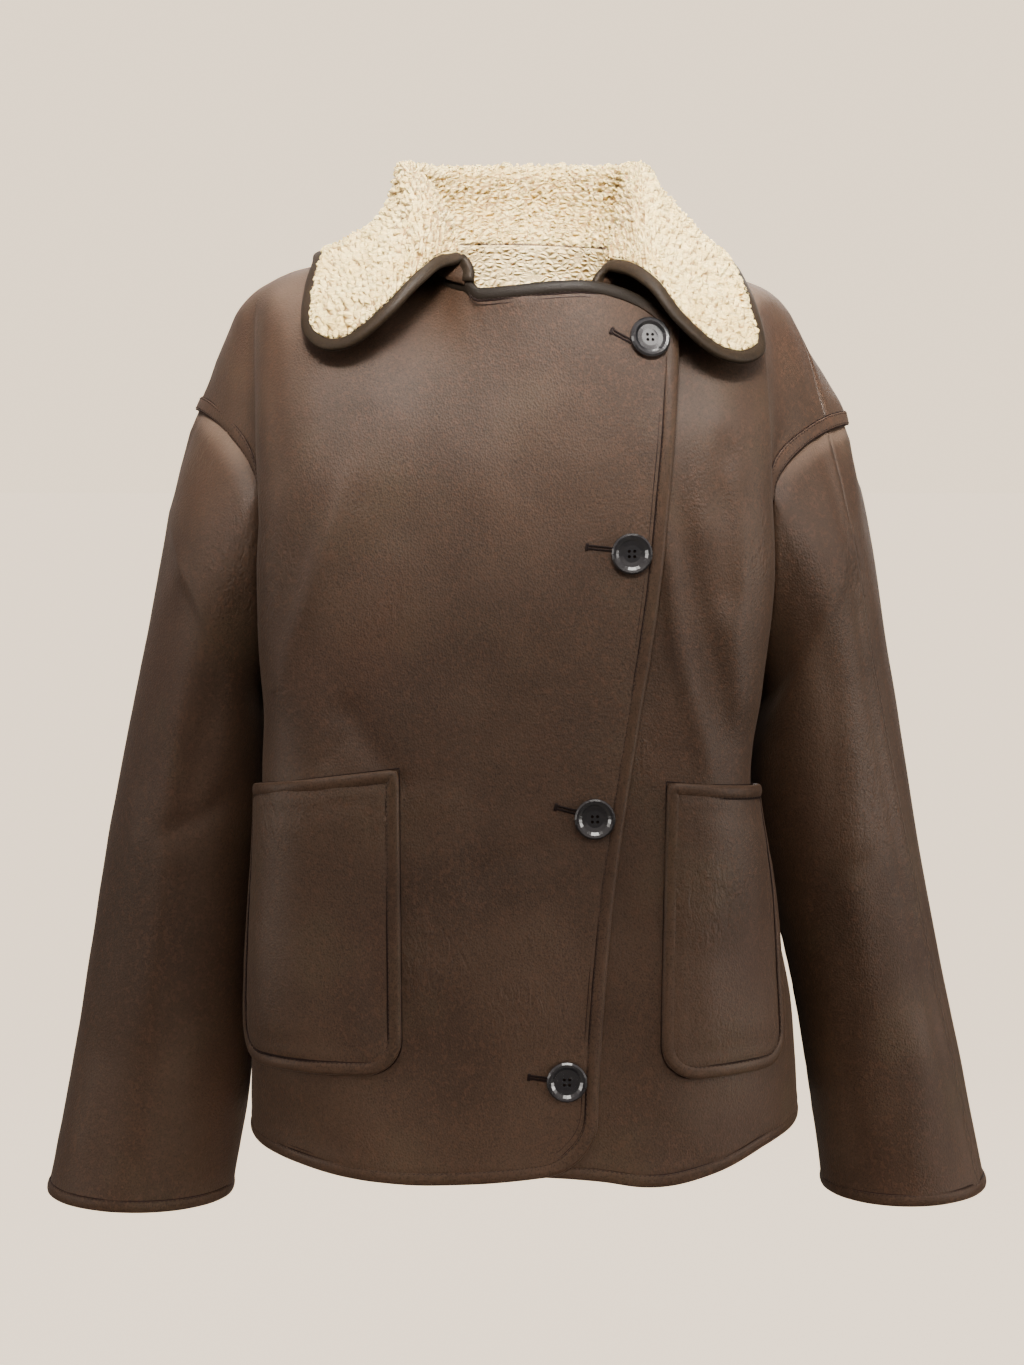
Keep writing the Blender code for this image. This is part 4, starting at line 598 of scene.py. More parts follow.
    def make_back(self, share, top):
        hem = looked_up(HEM_BACK, share) + self.bound
        halves = []
        for side, chosen, local in ((-1, share <= 0.5, share * 2), (1, share >= 0.5, 2 - share * 2)):
            rows = self.lower(side, 1, local[chosen], hem[chosen], lambda z: 0.0)
            halves.append(np.array(rows))
        rows = list(np.concatenate([halves[0], halves[1][:, 1:]], axis=1))
        right = 1 - eased(share / DRAWN_TO_ARMHOLE["back"])
        left = 1 - eased((1 - share) / DRAWN_TO_ARMHOLE["back"])
        rows += self.upper(rows[-1], top, ((-1, 1, right, 0), (1, 1, left, -1)))
        points = np.array(rows)
        normals = grid_normals(points) * self.outward()
        mask = eased(share / FREE_OF_FOLDS["back"]) * eased((1 - share) / FREE_OF_FOLDS["back"])
        mask = mask[None, :, None] * self.below_seam()
        return points + (folded(points, normals, FOLDS_BACK) - points) * mask


def grid_normals(points):
    """A normal for each point of a grid, from its neighbours in the rows and columns."""
    across = np.gradient(points, axis=1)
    up = np.gradient(points, axis=0)
    return unit(np.cross(across, up))


# ---------------------------------------------------------------- sleeves, patches, collar and pockets
FIRST_SLEEVE_ROWS = (0, 0.010, 0.026)  # how far down from the armhole they lie
EVEN_SLEEVE_ROWS = 0.048  # from here on the rows lie at even steps


def sleeve_half(side, face, rows, steps):
    """Points of one half of a sleeve, from the overarm seam (column 0) to the underarm seam."""
    table = SLEEVE_RIGHT if side < 0 else SLEEVE_LEFT
    seam_at = (ARMHOLE_RIGHT if side < 0 else ARMHOLE_LEFT)[4]
    first_turn, last_turn = OVERARM_RIGHT if side < 0 else OVERARM_LEFT
    share = np.linspace(0, 1, steps + 1)
    place = seam_at * (1 - share) if face < 0 else seam_at + (1 - seam_at) * share
    rings = [armhole(side, place)]
    for i, (outer_x, outer_z, inner_x, inner_z, front, back, middle_y) in enumerate(table):
        start = math.radians(first_turn + (last_turn - first_turn) * i / (len(table) - 1))
        span = math.pi - start if face < 0 else math.pi + start
        turn = start - face * share * span
        middle = np.array([(outer_x + inner_x) / 2, 0, (outer_z + inner_z) / 2])
        reach = np.array([(outer_x - inner_x) / 2, 0, (outer_z - inner_z) / 2])
        depth = np.where(np.sin(turn) > 0, front, back)
        ring = middle + np.outer(np.cos(turn), reach)
        ring[:, 1] = middle_y - depth * np.sin(turn)
        ring[:, 2] -= CUFF_FRONT_DROP * np.clip(np.sin(turn), 0, 1) * (i / (len(table) - 1)) ** 3
        rings.append(ring)
    rings = np.array(rings)
    steps_down = np.linalg.norm(np.diff(rings[:, [0, -1]], axis=0), axis=2).mean(axis=1)
    at = np.concatenate([[0], np.cumsum(steps_down)])
    places = np.concatenate([FIRST_SLEEVE_ROWS, np.linspace(EVEN_SLEEVE_ROWS, at[-1], rows - 2)])
    return smooth(places, at, rings)


def rounded_patch(width, height, inset, radius, columns, rows, top_inset=None):
    """A grid over a patch with rounded lower corners: places across it, and down it from its top edge."""
    top = inset if top_inset is None else top_inset
    radius = radius - inset * 0.5
    reach = radius * (1 - math.cos(math.radians(45)))
    across_share = np.linspace(0, 1, columns)
    down_share = np.linspace(0, 1, rows)[:, None]
    across = inset + reach + (width - 2 * inset - 2 * reach) * across_share
    to_side = np.minimum(across - inset, width - inset - across)
    rise = rounding(radius - to_side, radius)
    low = height - inset - reach
    down = top + (low - top) * down_share
    drawn = rounding(radius - (height - inset - down), radius)
    places = inset + drawn + (width - 2 * inset - 2 * drawn) * across_share
    return places, down + (height - inset - rise - low) * down_share**2


def patch_rim(grid):
    """The rim of a patch's grid as a closed loop, from the top's first corner."""
    return np.concatenate([grid[0, :-1], grid[:-1, -1], grid[-1, :0:-1], grid[:0:-1, 0]])


def sampled(grid, first_share, second_share):
    """Points read from a dense grid at shares (0 to 1) of its two axes."""
    row = np.clip(first_share, 0, 1) * (grid.shape[0] - 1)
    column = np.clip(second_share, 0, 1) * (grid.shape[1] - 1)
    above = np.minimum(row.astype(int), grid.shape[0] - 2)
    left = np.minimum(column.astype(int), grid.shape[1] - 2)
    down = (row - above)[..., None]
    across = (column - left)[..., None]
    near = grid[above, left] * (1 - across) + grid[above, left + 1] * across
    far = grid[above + 1, left] * (1 - across) + grid[above + 1, left + 1] * across
    return near * (1 - down) + far * down


COLLAR_AROUND, COLLAR_DOWN = 160, 60  # steps of the dense grid, round the neck and from seam to edge
NECK_MIDDLE = (0.0, 0.0, 0.05)


def collar_surface():
    """The collar's pile side as a dense grid, first round the neck, then from seam to edge, with normals."""
    table = np.array(COLLAR)
    lines = np.array([along(line, COLLAR_DOWN + 1) for line in table])
    spread = np.linalg.norm(np.diff(table[:, 5], axis=0), axis=1)
    at = np.concatenate([[0], np.cumsum(spread)])
    points = smooth(np.linspace(0, at[-1], COLLAR_AROUND + 1), at, lines)
    normals = grid_normals(points)
    to_neck = np.array(NECK_MIDDLE) - points[:, 6]
    if (normals[:, 6] * to_neck).sum() < 0:
        normals = -normals
    return points, normals


def pocket_place(word, arc, down, inset):
    """A point on a front and its normal: arc runs from the pocket's inner edge, down from its top."""
    width, waist, x_top, x_bottom, top_inner, top_outer, bottom_inner, bottom_outer = POCKETS[word]
    side = -1 if word == "right" else 1
    height = top_inner - bottom_inner
    inner_x = x_top + (x_bottom - x_top) * down / height
    share = arc / width
    top = top_inner - inset + (top_outer - top_inner) * share
    bottom = bottom_inner + inset + (bottom_outer - bottom_inner) * share
    z = top + (bottom - top) * (down - inset) / (height - 2 * inset)
    arc = arc * (1 - waist * np.sin(math.pi * down / height))

    def at(arc_from_edge):
        return on_body(side, -1, z, inner_x, lambda whole: whole - arc_from_edge)

    step = 1e-3
    sideways = at(arc + step) - at(arc - step)
    normal = unit(np.stack([sideways[..., 1], -sideways[..., 0], 0 * sideways[..., 0]], axis=-1))
    return at(arc), normal * side


# ---------------------------------------------------------------- noise and relief
def hashed(cell, seed):
    """A repeatable value from 0 to 1 for each whole-number place."""
    value = cell[..., 0] * 73856093 ^ cell[..., 1] * 19349663 ^ cell[..., 2] * 83492791 ^ seed * 26544357
    value = (value ^ value >> 13) * 1274126177 & 0xFFFFFFFF
    value = value ^ value >> 16
    return (value & 0xFFFFFF) / 0xFFFFFF


def lumps(points, size, seed):
    """Smooth noise from -1 to 1 with lumps of the given size, one number or one for each axis."""
    place = np.asarray(points) / size
    cell = np.floor(place).astype(np.int64)
    part = eased(place - cell)
    total = 0
    for corner in range(8):
        step = np.array([corner & 1, corner >> 1 & 1, corner >> 2])
        total = total + np.prod(np.where(step, part, 1 - part), axis=-1) * hashed(cell + step, seed)
    return total * 2 - 1


def bump(value, middle, half_width):
    """A soft bell, 1 at its middle."""
    return np.exp(-(((value - middle) / half_width) ** 2))


def from_edge(points, edge):
    """How far each point of a grid lies from one of its edges, along the grid."""
    axis = 0 if edge.endswith("row") else 1
    steps = np.linalg.norm(np.diff(points, axis=axis), axis=2)
    start = np.zeros_like(points[..., 0]).take([0], axis)
    total = np.concatenate([start, np.cumsum(steps, axis=axis)], axis=axis)
    return total.take([-1], axis) - total if edge.startswith("last") else total


def soft_relief(points):
    """The slight unevenness of worn cloth."""
    broad = 0.0011 * lumps(points, (0.055, 0.055, 0.120), 3)
    return broad + 0.00045 * lumps(points, (0.020, 0.020, 0.034), 4)


def pucker(points, far, height, size, reach, seed):
    """Small gathers that die out away from a seam."""
    return height * lumps(points, size, seed) * np.exp(-far / reach)


def seam_relief(points, edge, ridge=0.0005):
    """A stitched seam at one edge: the cloth dips into it beside a low ridge, and puckers a little."""
    far = from_edge(points, edge)
    dip = -0.0012 * bump(far, 0, 0.0020) + ridge * bump(far, 0.0060, 0.0034)
    return dip + pucker(points, far, 0.00035, 0.008, 0.010, 7)


def overarm_relief(points):
    """The seam down the top of a sleeve: a soft ridge over its allowances, with a fine dip in the middle."""
    far = from_edge(points, "first_column")
    ridge = 0.0013 * bump(far, 0, 0.0042) - 0.0007 * bump(far, 0, 0.0010) - 0.0008 * bump(far, 0.012, 0.005)
    return ridge + pucker(points, far, 0.0002, 0.008, 0.010, 7)


def bound_relief(points, far):
    """A bound edge, this far away: the cloth swells a little before it and puckers."""
    return 0.0004 * bump(far, 0.007, 0.004) + pucker(points, far, 0.0003, 0.009, 0.012, 8)


def curl_field(across, down, seed):
    """Rounded curls over a plane measured in curls: how full each is, 0 in a crease and lower in a curl's
    lower part, which sets the painted shade between curls, and the height.
    """
    flat = np.stack([across, down, np.zeros_like(across)], axis=-1)
    across = across + 0.42 * lumps(flat, 1.3, seed)
    down = down + 0.42 * lumps(flat, 1.1, seed + 1)
    cell = np.floor(np.stack([across, down, np.zeros_like(across)], axis=-1)).astype(np.int64)
    nearest = np.full(across.shape, 9.0)
    second = np.full(across.shape, 9.0)
    below = np.zeros(across.shape)
    for i in (-1, 0, 1):
        for j in (-1, 0, 1):
            other = cell + np.array([i, j, 0])
            side = other[..., 0] + 0.15 + 0.7 * hashed(other, seed + 2) - across
            drop = other[..., 1] + 0.15 + 0.7 * hashed(other, seed + 3) - down
            far = np.hypot(side, drop)
            closer = far < nearest
            second = np.where(closer, nearest, np.minimum(second, far))
            below = np.where(closer, -drop, below)
            nearest = np.where(closer, far, nearest)
    pillow = eased((second - nearest) / 0.60)
    lower = np.clip(below, -0.5, 0.5)  # a curl stands highest in its lower part
    # the first value, which sets painted shade, is lowest in a curl's lower part, where shade falls from a
    # light above
    return 1 - (1 - pillow) * (0.45 + 1.1 * lower), pillow * (0.62 + 0.95 * lower)


def pile_relief(points):
    """The curly lining's lumps, seen inside the garment."""
    return 0.0009 * np.abs(lumps(points, 0.0075, 11)) + 0.0006 * lumps(points, 0.0140, 12)


def add_mesh(name, points, faces, finishes, face_finish=None, caps=()):
    """A smooth-shaded piece that rides on the one body, made of quads and any larger faces (caps)."""
    mesh = bpy.data.meshes.new(name)
    mesh.from_pydata(points.reshape(-1, 3).tolist(), [], faces.tolist() + list(caps))
    mesh.shade_smooth()
    made = bpy.data.objects.new(name, mesh)
    home.objects.link(made)
    for finish in finishes:
        mesh.materials.append(finish)
    if face_finish is not None:
        mesh.polygons.foreach_set("material_index", face_finish)
    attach(made, "root")
    return made


def quads_of(rows, columns, wrap=False):
    """The quads of a grid of points. A wrapped one closes round its columns."""
    index = np.arange(rows * columns).reshape(rows, columns)
    if wrap:
        index = np.concatenate([index, index[:, :1]], axis=1)
    corners = (index[:-1, :-1], index[:-1, 1:], index[1:, 1:], index[1:, :-1])
    return np.stack(corners, axis=-1).reshape(-1, 4)


def turned_in(corner, beside, below, outward):
    """Whether a quad with these three corners faces against the outward direction."""
    return np.dot(np.cross(beside - corner, below - corner), outward) < 0


def shell(name, outer, inner, finishes, rim_finish=0):
    """Cloth as a closed thin solid: the outer skin, the inner one, and the cut edges between them."""
    rows, columns = outer.shape[:2]
    count = rows * columns
    index = np.arange(count).reshape(rows, columns)
    rim = np.concatenate([index[0, :-1], index[:-1, -1], index[-1, :0:-1], index[:0:-1, 0]])
    after = np.roll(rim, -1)
    quads = quads_of(rows, columns)
    edge = np.stack([after, rim, rim + count, after + count], axis=-1)
    faces = np.concatenate([quads, quads[:, ::-1] + count, edge])
    row, column = rows // 2, columns // 2
    corner = outer[row, column]
    if turned_in(corner, outer[row, column + 1], outer[row + 1, column], corner - inner[row, column]):
        faces = faces[:, ::-1]
    which = np.repeat([0, 1, rim_finish], [len(quads), len(quads), len(edge)])
    points = np.concatenate([outer.reshape(-1, 3), inner.reshape(-1, 3)])
    return add_mesh(name, points, faces, finishes, which)


# The pile's curls: how wide, how high down the leaf and how thick they are.
CURL_WIDTH = 0.0086
CURL_HEIGHT = 0.0047
CURL_RISE = 0.0052

# A folded binding in section: across it and up from its middle, as shares of its half width and thickness.
BINDING_SECTION = (
    (1.00, 0.30), (0.985, 0.66), (0.93, 0.84), (0.84, 0.86), (0.74, 0.96), (0.45, 1.10), (0.0, 1.16),
    (-0.45, 1.08), (-0.80, 0.84), (-0.96, 0.46), (-1.00, 0.0), (-0.96, -0.46), (-0.80, -0.84), (-0.45, -1.06),
    (0.0, -1.12), (0.45, -1.06), (0.84, -0.86), (1.00, -0.40),
)
# One half of a stitched strip in section, from its under side up to its middle.
BAND_HALF = (
    (0.99, -1.2), (1.00, -0.2), (0.985, 0.30), (0.94, 0.52), (0.84, 0.60), (0.76, 0.50), (0.68, 0.64),
    (0.35, 0.74),
)
BAND_SECTION = BAND_HALF + ((0.0, 0.78),) + tuple((-across, up) for across, up in reversed(BAND_HALF))
LINE_STEP = 0.003  # between the points of bindings, strips and tight lines


def spaced(points, normals, spacing, closed=False):
    """The same line with points at even steps, and its normals."""
    if closed:
        points = np.concatenate([points, points[:1]])
        normals = np.concatenate([normals, normals[:1]])
    steps = np.linalg.norm(np.diff(points, axis=0), axis=1)
    keep = np.concatenate([[True], steps > 1e-6])
    points, normals = points[keep], normals[keep]
    at = np.concatenate([[0], np.cumsum(np.linalg.norm(np.diff(points, axis=0), axis=1))])
    places = np.linspace(0, at[-1], max(3, round(at[-1] / spacing) + 1))
    if closed:
        places = places[:-1]
    return smooth(places, at, points), unit(smooth(places, at, normals))


def frame_of(path, normals, closed):
    """The direction along a path, across it and up from the cloth."""
    if closed:
        along_path = unit(np.roll(path, -1, axis=0) - np.roll(path, 1, axis=0))
    else:
        along_path = unit(np.gradient(path, axis=0))
    across = unit(np.cross(along_path, normals))
    return along_path, across, unit(np.cross(across, along_path))


def strip(name, path, normals, width, thick, outline, finish, closed=False, back=1.0, flip=1.0):
    """A bar with a shaped section along a path, a little uneven. Its width lies square to the normals."""
    _, across, up = frame_of(path, normals, closed)
    across = across * flip
    half_width = width / 2 * (1 + 0.035 * lumps(path, 0.016, 21))
    half_thick = thick / 2 * (1 + 0.060 * lumps(path, 0.011, 22))
    rings = []
    for across_share, up_share in outline:
        reach = half_width * across_share
        rise = half_thick * up_share * (1.0 if up_share > 0 else back)
        rings.append(path + across * reach[:, None] + up * rise[:, None])
    rings = np.array(rings).transpose(1, 0, 2)
    rows, count = rings.shape[:2]
    first = np.arange(count)
    last = first + (rows - 1) * count
    faces = quads_of(rows, count, wrap=True)
    caps = []
    if closed:
        joined = np.stack([last, np.roll(last, -1), np.roll(first, -1), first], axis=-1)
        faces = np.concatenate([faces, joined])
    else:
        caps = [first.tolist(), last[::-1].tolist()]
        if not turned_in(rings[0, 0], rings[0, 1], rings[0, 3], rings[1, 0] - rings[0, 0]):
            caps = [cap[::-1] for cap in caps]
    middle = rings[rows // 2]
    if turned_in(middle[0], middle[1], rings[(rows // 2 + 1) % rows, 0], middle[0] - middle.mean(axis=0)):
        faces = faces[:, ::-1]
    return add_mesh(name, rings, faces, [finish], caps=caps)


def pile_shell(name, outer, inner, finish):
    """A dense outer skin on a coarser inner one. They share their columns, and a cap closes each end."""
    rows, columns = outer.shape[:2]
    low_rows = inner.shape[0]
    start = rows * columns
    top = quads_of(rows, columns)
    bottom = quads_of(low_rows, columns)[:, ::-1] + start
    near = np.arange(columns - 1)
    first = np.stack([near + 1, near, near + start, near + 1 + start], axis=-1)
    far_out, far_in = near + (rows - 1) * columns, near + (low_rows - 1) * columns + start
    last = np.stack([far_out, far_out + 1, far_in + 1, far_in], axis=-1)
    faces = np.concatenate([top, bottom, first, last])
    caps = []
    for column, backwards in ((0, False), (columns - 1, True)):
        out_line = np.arange(rows) * columns + column
        in_line = np.arange(low_rows)[::-1] * columns + column + start
        cap = np.concatenate([out_line, in_line]).tolist()
        caps.append(cap[::-1] if backwards else cap)
    row, column = rows // 2, columns // 2
    corner = outer[row, column]
    out = corner - inner[low_rows // 2, column]
    if turned_in(corner, outer[row, column + 1], outer[row + 1, column], out):
        faces = faces[:, ::-1]
        caps = [cap[::-1] for cap in caps]
    points = np.concatenate([outer.reshape(-1, 3), inner.reshape(-1, 3)])
    return add_mesh(name, points, faces, [finish], caps=caps)


class Threads:
    """Many small four-sided tubes gathered in one mesh."""

    def __init__(self):
        self.points = []
        self.faces = []
        self.count = 0

    def add(self, centres, sides, ups, radii):
        """Tubes through centres (tube, station, 3) with a radius at each station, and closed ends."""
        tubes, stations = centres.shape[:2]
        angles = np.arange(4) * math.pi / 2
        ring = (
            centres[:, :, None]
            + sides[:, :, None] * (radii[..., None] * np.cos(angles))[..., None]
            + ups[:, :, None] * (radii[..., None] * np.sin(angles))[..., None]
        )
        last = (stations - 1) * 4
        ends = np.array([[3, 2, 1, 0], [last, last + 1, last + 2, last + 3]])
        quads = np.concatenate([quads_of(stations, 4, wrap=True), ends])
        offsets = np.arange(tubes)[:, None, None] * stations * 4 + self.count
        self.points.append(ring.reshape(-1, 3))
        self.faces.append((quads[None] + offsets).reshape(-1, 4))
        self.count += tubes * stations * 4

    def finish(self, name, material, slot="binding"):
        faces = np.concatenate(self.faces)[:, ::-1]
        return add_mesh(name, np.concatenate(self.points), faces, [material])


# Stitches: from one to the next, each one's length and radius, and its rise and thickness along it.
STITCH_PITCH = 0.0033
STITCH_LENGTH = 0.0030
STITCH_RADIUS = 0.00036
STITCH_RISE = np.array([-0.00030, 0.00022, 0.00022, -0.00030])
STITCH_TAPER = np.array([0.45, 1.0, 1.0, 0.45])


def stitch_line(threads, path, normals, lift=0.0, closed=False):
    """Short stitches along a path on the cloth, each arched a little above it."""
    points, ups = spaced(path, normals, STITCH_PITCH, closed)
    forward, side, up = frame_of(points, ups, closed)
    stations = np.linspace(-0.5, 0.5, len(STITCH_RISE))
    centres = points[:, None] + forward[:, None] * (stations * STITCH_LENGTH)[None, :, None]
    centres = centres + up[:, None] * (STITCH_RISE + lift)[None, :, None]
    threads.add(centres, side[:, None], up[:, None], STITCH_TAPER * STITCH_RADIUS)


def shade_and_stitch_line(path, normals, lift=0.0, radius=0.00042, closed=False):
    """A thin dark line where a binding or a strip is sewn down to the cloth: painted shade along their
    borders, and in one place a line of stitching.
    """
    points, ups = spaced(path, normals, LINE_STEP, closed)
    if closed:
        points, ups = np.concatenate([points, points[:1]]), np.concatenate([ups, ups[:1]])
    _, side, up = frame_of(points, ups, False)
    centres = (points + up * lift)[None]
    shade_and_stitch_tubes.add(centres, side[None], up[None], np.full(centres.shape[:2], radius))


# ---------------------------------------------------------------- materials
def new_material(name, roughness=0.5, specular=0.5, sheen=0.0, sheen_colour=(1.0, 1.0, 1.0, 1.0)):
    made = bpy.data.materials.new(name)
    made.use_nodes = True
    shader = made.node_tree.nodes["Principled BSDF"]
    shader.inputs["Roughness"].default_value = roughness
    shader.inputs["Specular IOR Level"].default_value = specular
    shader.inputs["Sheen Weight"].default_value = sheen
    shader.inputs["Sheen Tint"].default_value = sheen_colour
    return made, made.node_tree, shader


def paint(red, green, blue):
    return (red, green, blue, 1.0)


def scaled(colour, share):
    return tuple(share * part for part in colour[:3]) + (1.0,)


class Graph:
    """Short ways to add shader nodes."""

    def __init__(self, tree):
        self.tree = tree
        self.place = tree.nodes.new("ShaderNodeTexCoord").outputs["Object"]

    def link(self, source, target):
        self.tree.links.new(source, target)

    def upward_part(self, vector):
        node = self.tree.nodes.new("ShaderNodeSeparateXYZ")
        self.link(vector, node.inputs[0])
        return node.outputs["Z"]

    def distance(self, point):
        node = self.tree.nodes.new("ShaderNodeVectorMath")
        node.operation = "DISTANCE"
        self.link(self.place, node.inputs[0])
        node.inputs[1].default_value = point
        return node.outputs["Value"]

    def mapped(self, scale, turn=(0, 0, 0)):
        node = self.tree.nodes.new("ShaderNodeMapping")
        node.inputs["Scale"].default_value = scale
        node.inputs["Rotation"].default_value = turn
        self.link(self.place, node.inputs["Vector"])
        return node.outputs["Vector"]

    def noise(self, vector, scale, detail=2.0, rough=0.5, distortion=0.0):
        node = self.tree.nodes.new("ShaderNodeTexNoise")
        node.inputs["Scale"].default_value = scale
        node.inputs["Detail"].default_value = detail
        node.inputs["Roughness"].default_value = rough
        node.inputs["Distortion"].default_value = distortion
        self.link(vector, node.inputs["Vector"])
        return node.outputs["Fac"]

    def cells(self, vector, scale, feature="F1"):
        node = self.tree.nodes.new("ShaderNodeTexVoronoi")
        node.feature = feature
        node.inputs["Scale"].default_value = scale
        self.link(vector, node.inputs["Vector"])
        return node.outputs["Distance"]

    def warped(self, vector, reach, scale):
        """The same places pushed about by noise."""
        noise = self.tree.nodes.new("ShaderNodeTexNoise")
        noise.inputs["Scale"].default_value = scale
        self.link(vector, noise.inputs["Vector"])
        moved = self.tree.nodes.new("ShaderNodeVectorMath")
        moved.operation = "MULTIPLY_ADD"
        self.link(noise.outputs["Color"], moved.inputs[0])
        moved.inputs[1].default_value = (reach, reach, reach)
        self.link(vector, moved.inputs[2])
        return moved.outputs["Vector"]

    def ranged(self, value, low, high, to_low=0.0, to_high=1.0):
        node = self.tree.nodes.new("ShaderNodeMapRange")
        node.interpolation_type = "SMOOTHSTEP"
        for key, number in (("From Min", low), ("From Max", high), ("To Min", to_low), ("To Max", to_high)):
            node.inputs[key].default_value = number
        self.link(value, node.inputs["Value"])
        return node.outputs["Result"]

    def math(self, operation, first, second):
        node = self.tree.nodes.new("ShaderNodeMath")
        node.operation = operation
        for socket, value in zip(node.inputs, (first, second)):
            if isinstance(value, (int, float)):
                socket.default_value = value
            else:
                self.link(value, socket)
        return node.outputs[0]

    def mixed(self, share, first, second):
        node = self.tree.nodes.new("ShaderNodeMix")
        node.data_type = "RGBA"
        self.link(share, node.inputs["Factor"])
        for socket, value in ((node.inputs[6], first), (node.inputs[7], second)):
            if isinstance(value, tuple):
                socket.default_value = value
            else:
                self.link(value, socket)
        return node.outputs[2]

    def bump(self, height, strength, distance, before=None):
        node = self.tree.nodes.new("ShaderNodeBump")
        node.inputs["Strength"].default_value = strength
        node.inputs["Distance"].default_value = distance
        self.link(height, node.inputs["Height"])
        if before is not None:
            self.link(before, node.inputs["Normal"])
        return node.outputs["Normal"]


# Crinkled patches of the cloth: x, y, z and how far they reach.
CRINKLED = (
    (-0.174, -0.085, -0.205, 0.075),
    (-0.002, -0.130, -0.511, 0.045),
    (-0.064, -0.130, -0.476, 0.045),
    (0.129, -0.125, -0.435, 0.045),
    (0.235, -0.060, -0.200, 0.045),
    (0.160, -0.100, -0.190, 0.035),
    (-0.100, 0.110, -0.250, 0.060),
    (0.080, 0.110, -0.420, 0.060),
)


def suede_like(name, colours, roughness, grain=1.0, crinkle=1.0, painted_highlight_share=0.6, specular=0.20, painted_shade=None):
    """Brushed brown cloth: fine grain, crinkled patches, clouded colour and a painted highlight, a paler
    colour on what faces up.

    colours are a dark, a light and a warm one. The last argument is painted shade: a colour for what lies
    high, as the neckline in shade under the collar, and the heights where it starts and is full.
    """
    made, tree, shader = new_material(name, roughness, specular, 0.03, paint(0.75, 0.62, 0.52))
    shader.inputs["Sheen Roughness"].default_value = 0.4
    net = Graph(tree)
    dark, light, warm = colours
    mossy = (light[0], light[0] * 0.66, light[0] * 0.36, 1)
    clouds = net.noise(net.place, 9.0, 3.0, 0.55)
    specks = net.noise(net.mapped((1, 1, 0.75)), 900.0, 3.0, 0.75)
    rosy = net.noise(net.mapped((1, 1, 0.8)), 330.0, 2.0, 0.65, 0.6)
    warmth = net.noise(net.mapped((1, 1, 0.6)), 7.5, 2.0, 0.5)
    moss = net.noise(net.mapped((1.3, 1, 1)), 13.0, 2.0, 0.5)
    colour = net.mixed(net.ranged(clouds, 0.32, 0.70), dark, light)
    colour = net.mixed(net.ranged(warmth, 0.50, 0.72, 0.0, 0.55), colour, warm)
    colour = net.mixed(net.ranged(moss, 0.52, 0.72, 0.0, 0.45), colour, mossy)
    colour = net.mixed(net.ranged(specks, 0.38, 0.52, 0.65, 0.0), colour, scaled(dark, 0.45))
    colour = net.mixed(net.ranged(rosy, 0.50, 0.66, 0.0, 0.40), colour, scaled(warm, 1.50))
    facing_up = net.upward_part(tree.nodes.new("ShaderNodeNewGeometry").outputs["Normal"])
    # painted highlight: a paler colour where the surface faces up, towards the light above
    painted_highlight = net.ranged(facing_up, 0.42, 0.90, 0.0, painted_highlight_share)
    painted_highlight = net.math("MULTIPLY", painted_highlight, net.ranged(clouds, 0.25, 0.65, 0.6, 1.0))
    colour = net.mixed(painted_highlight, colour, PAINTED_HIGHLIGHT_COLOUR)
    if painted_shade is not None:
        # painted shade: darker where the piece lies high
        painted_shade_colour, start, full = painted_shade
        colour = net.mixed(net.ranged(net.upward_part(net.place), start, full), colour, painted_shade_colour)
    net.link(colour, shader.inputs["Base Color"])
    net.link(net.ranged(clouds, 0.3, 0.7, roughness + 0.05, roughness - 0.05), shader.inputs["Roughness"])
    pores = net.cells(net.mapped((1.0, 1.0, 0.8)), 720.0)
    creases = net.noise(net.mapped((1.0, 1.0, 0.70)), 620.0, 3.0, 0.6, 0.9)
    crinkles = net.noise(net.mapped((1.0, 1.0, 0.45), (0.0, 0.7, 0.0)), 190.0, 2.0, 0.5, 1.2)
    patches = net.ranged(net.noise(net.place, 9.0, 2.0, 0.5), 0.56, 0.70, 0.0, 0.8)
    for *place, reach in CRINKLED:
        patches = net.math("MAXIMUM", patches, net.ranged(net.distance(tuple(place)), reach, reach * 0.35))
    normal = net.bump(pores, 0.35 * grain, 0.0006)
    normal = net.bump(creases, 0.34 * grain, 0.0006, normal)
    normal = net.bump(net.math("MULTIPLY", crinkles, patches), 0.60 * crinkle, 0.0020, normal)
    net.link(normal, shader.inputs["Normal"])
    return made


def pile_like(name, light, dark, curl, flatness, depth):
    """Cream curly fleece, soft, with painted shade between its curls and along the borders of its locks,
    warmer and darker there. The last argument sets how strong that painted shade is between the locks.
    """
    made, tree, shader = new_material(name, 0.92, 0.5, 0.15, paint(1.0, 0.86, 0.58))
    net = Graph(tree)
    clouds = net.noise(net.place, 60.0, 2.0, 0.5)
    hairs = net.noise(net.mapped((1, 1, 1.6)), 1500.0, 3.0, 0.7)
    colour = net.mixed(net.ranged(clouds, 0.3, 0.7), dark, light)
    colour = net.mixed(net.ranged(hairs, 0.35, 0.60, 0.30, 0.0), colour, dark)
    # painted shade between the curls, from a value stored on the mesh, and along the borders of the locks
    curl_crease_shade = tree.nodes.new("ShaderNodeAttribute")
    curl_crease_shade.attribute_name = "curl_crease_shade"
    border = net.cells(net.warped(net.mapped((1, 1, flatness)), 0.006, 90.0), curl, "DISTANCE_TO_EDGE")
    shade_between_curls = net.ranged(curl_crease_shade.outputs["Fac"], 0.04, 0.66, 0.0, 0.95)
    shade_between_locks = net.ranged(border, 0.0, 0.13, depth, 0.0)
    colour = net.mixed(net.math("MAXIMUM", shade_between_curls, shade_between_locks), colour, PILE_PAINTED_SHADE)
    net.link(colour, shader.inputs["Base Color"])
    normal = net.bump(net.ranged(border, 0.0, 0.5), 0.9, 0.0030)
    net.link(net.bump(hairs, 0.30, 0.0006, normal), shader.inputs["Normal"])
    shader.inputs["Sheen Roughness"].default_value = 0.5
    shader.inputs["Subsurface Weight"].default_value = 0.12
    shader.inputs["Subsurface Radius"].default_value = (0.004, 0.003, 0.002)
    return made


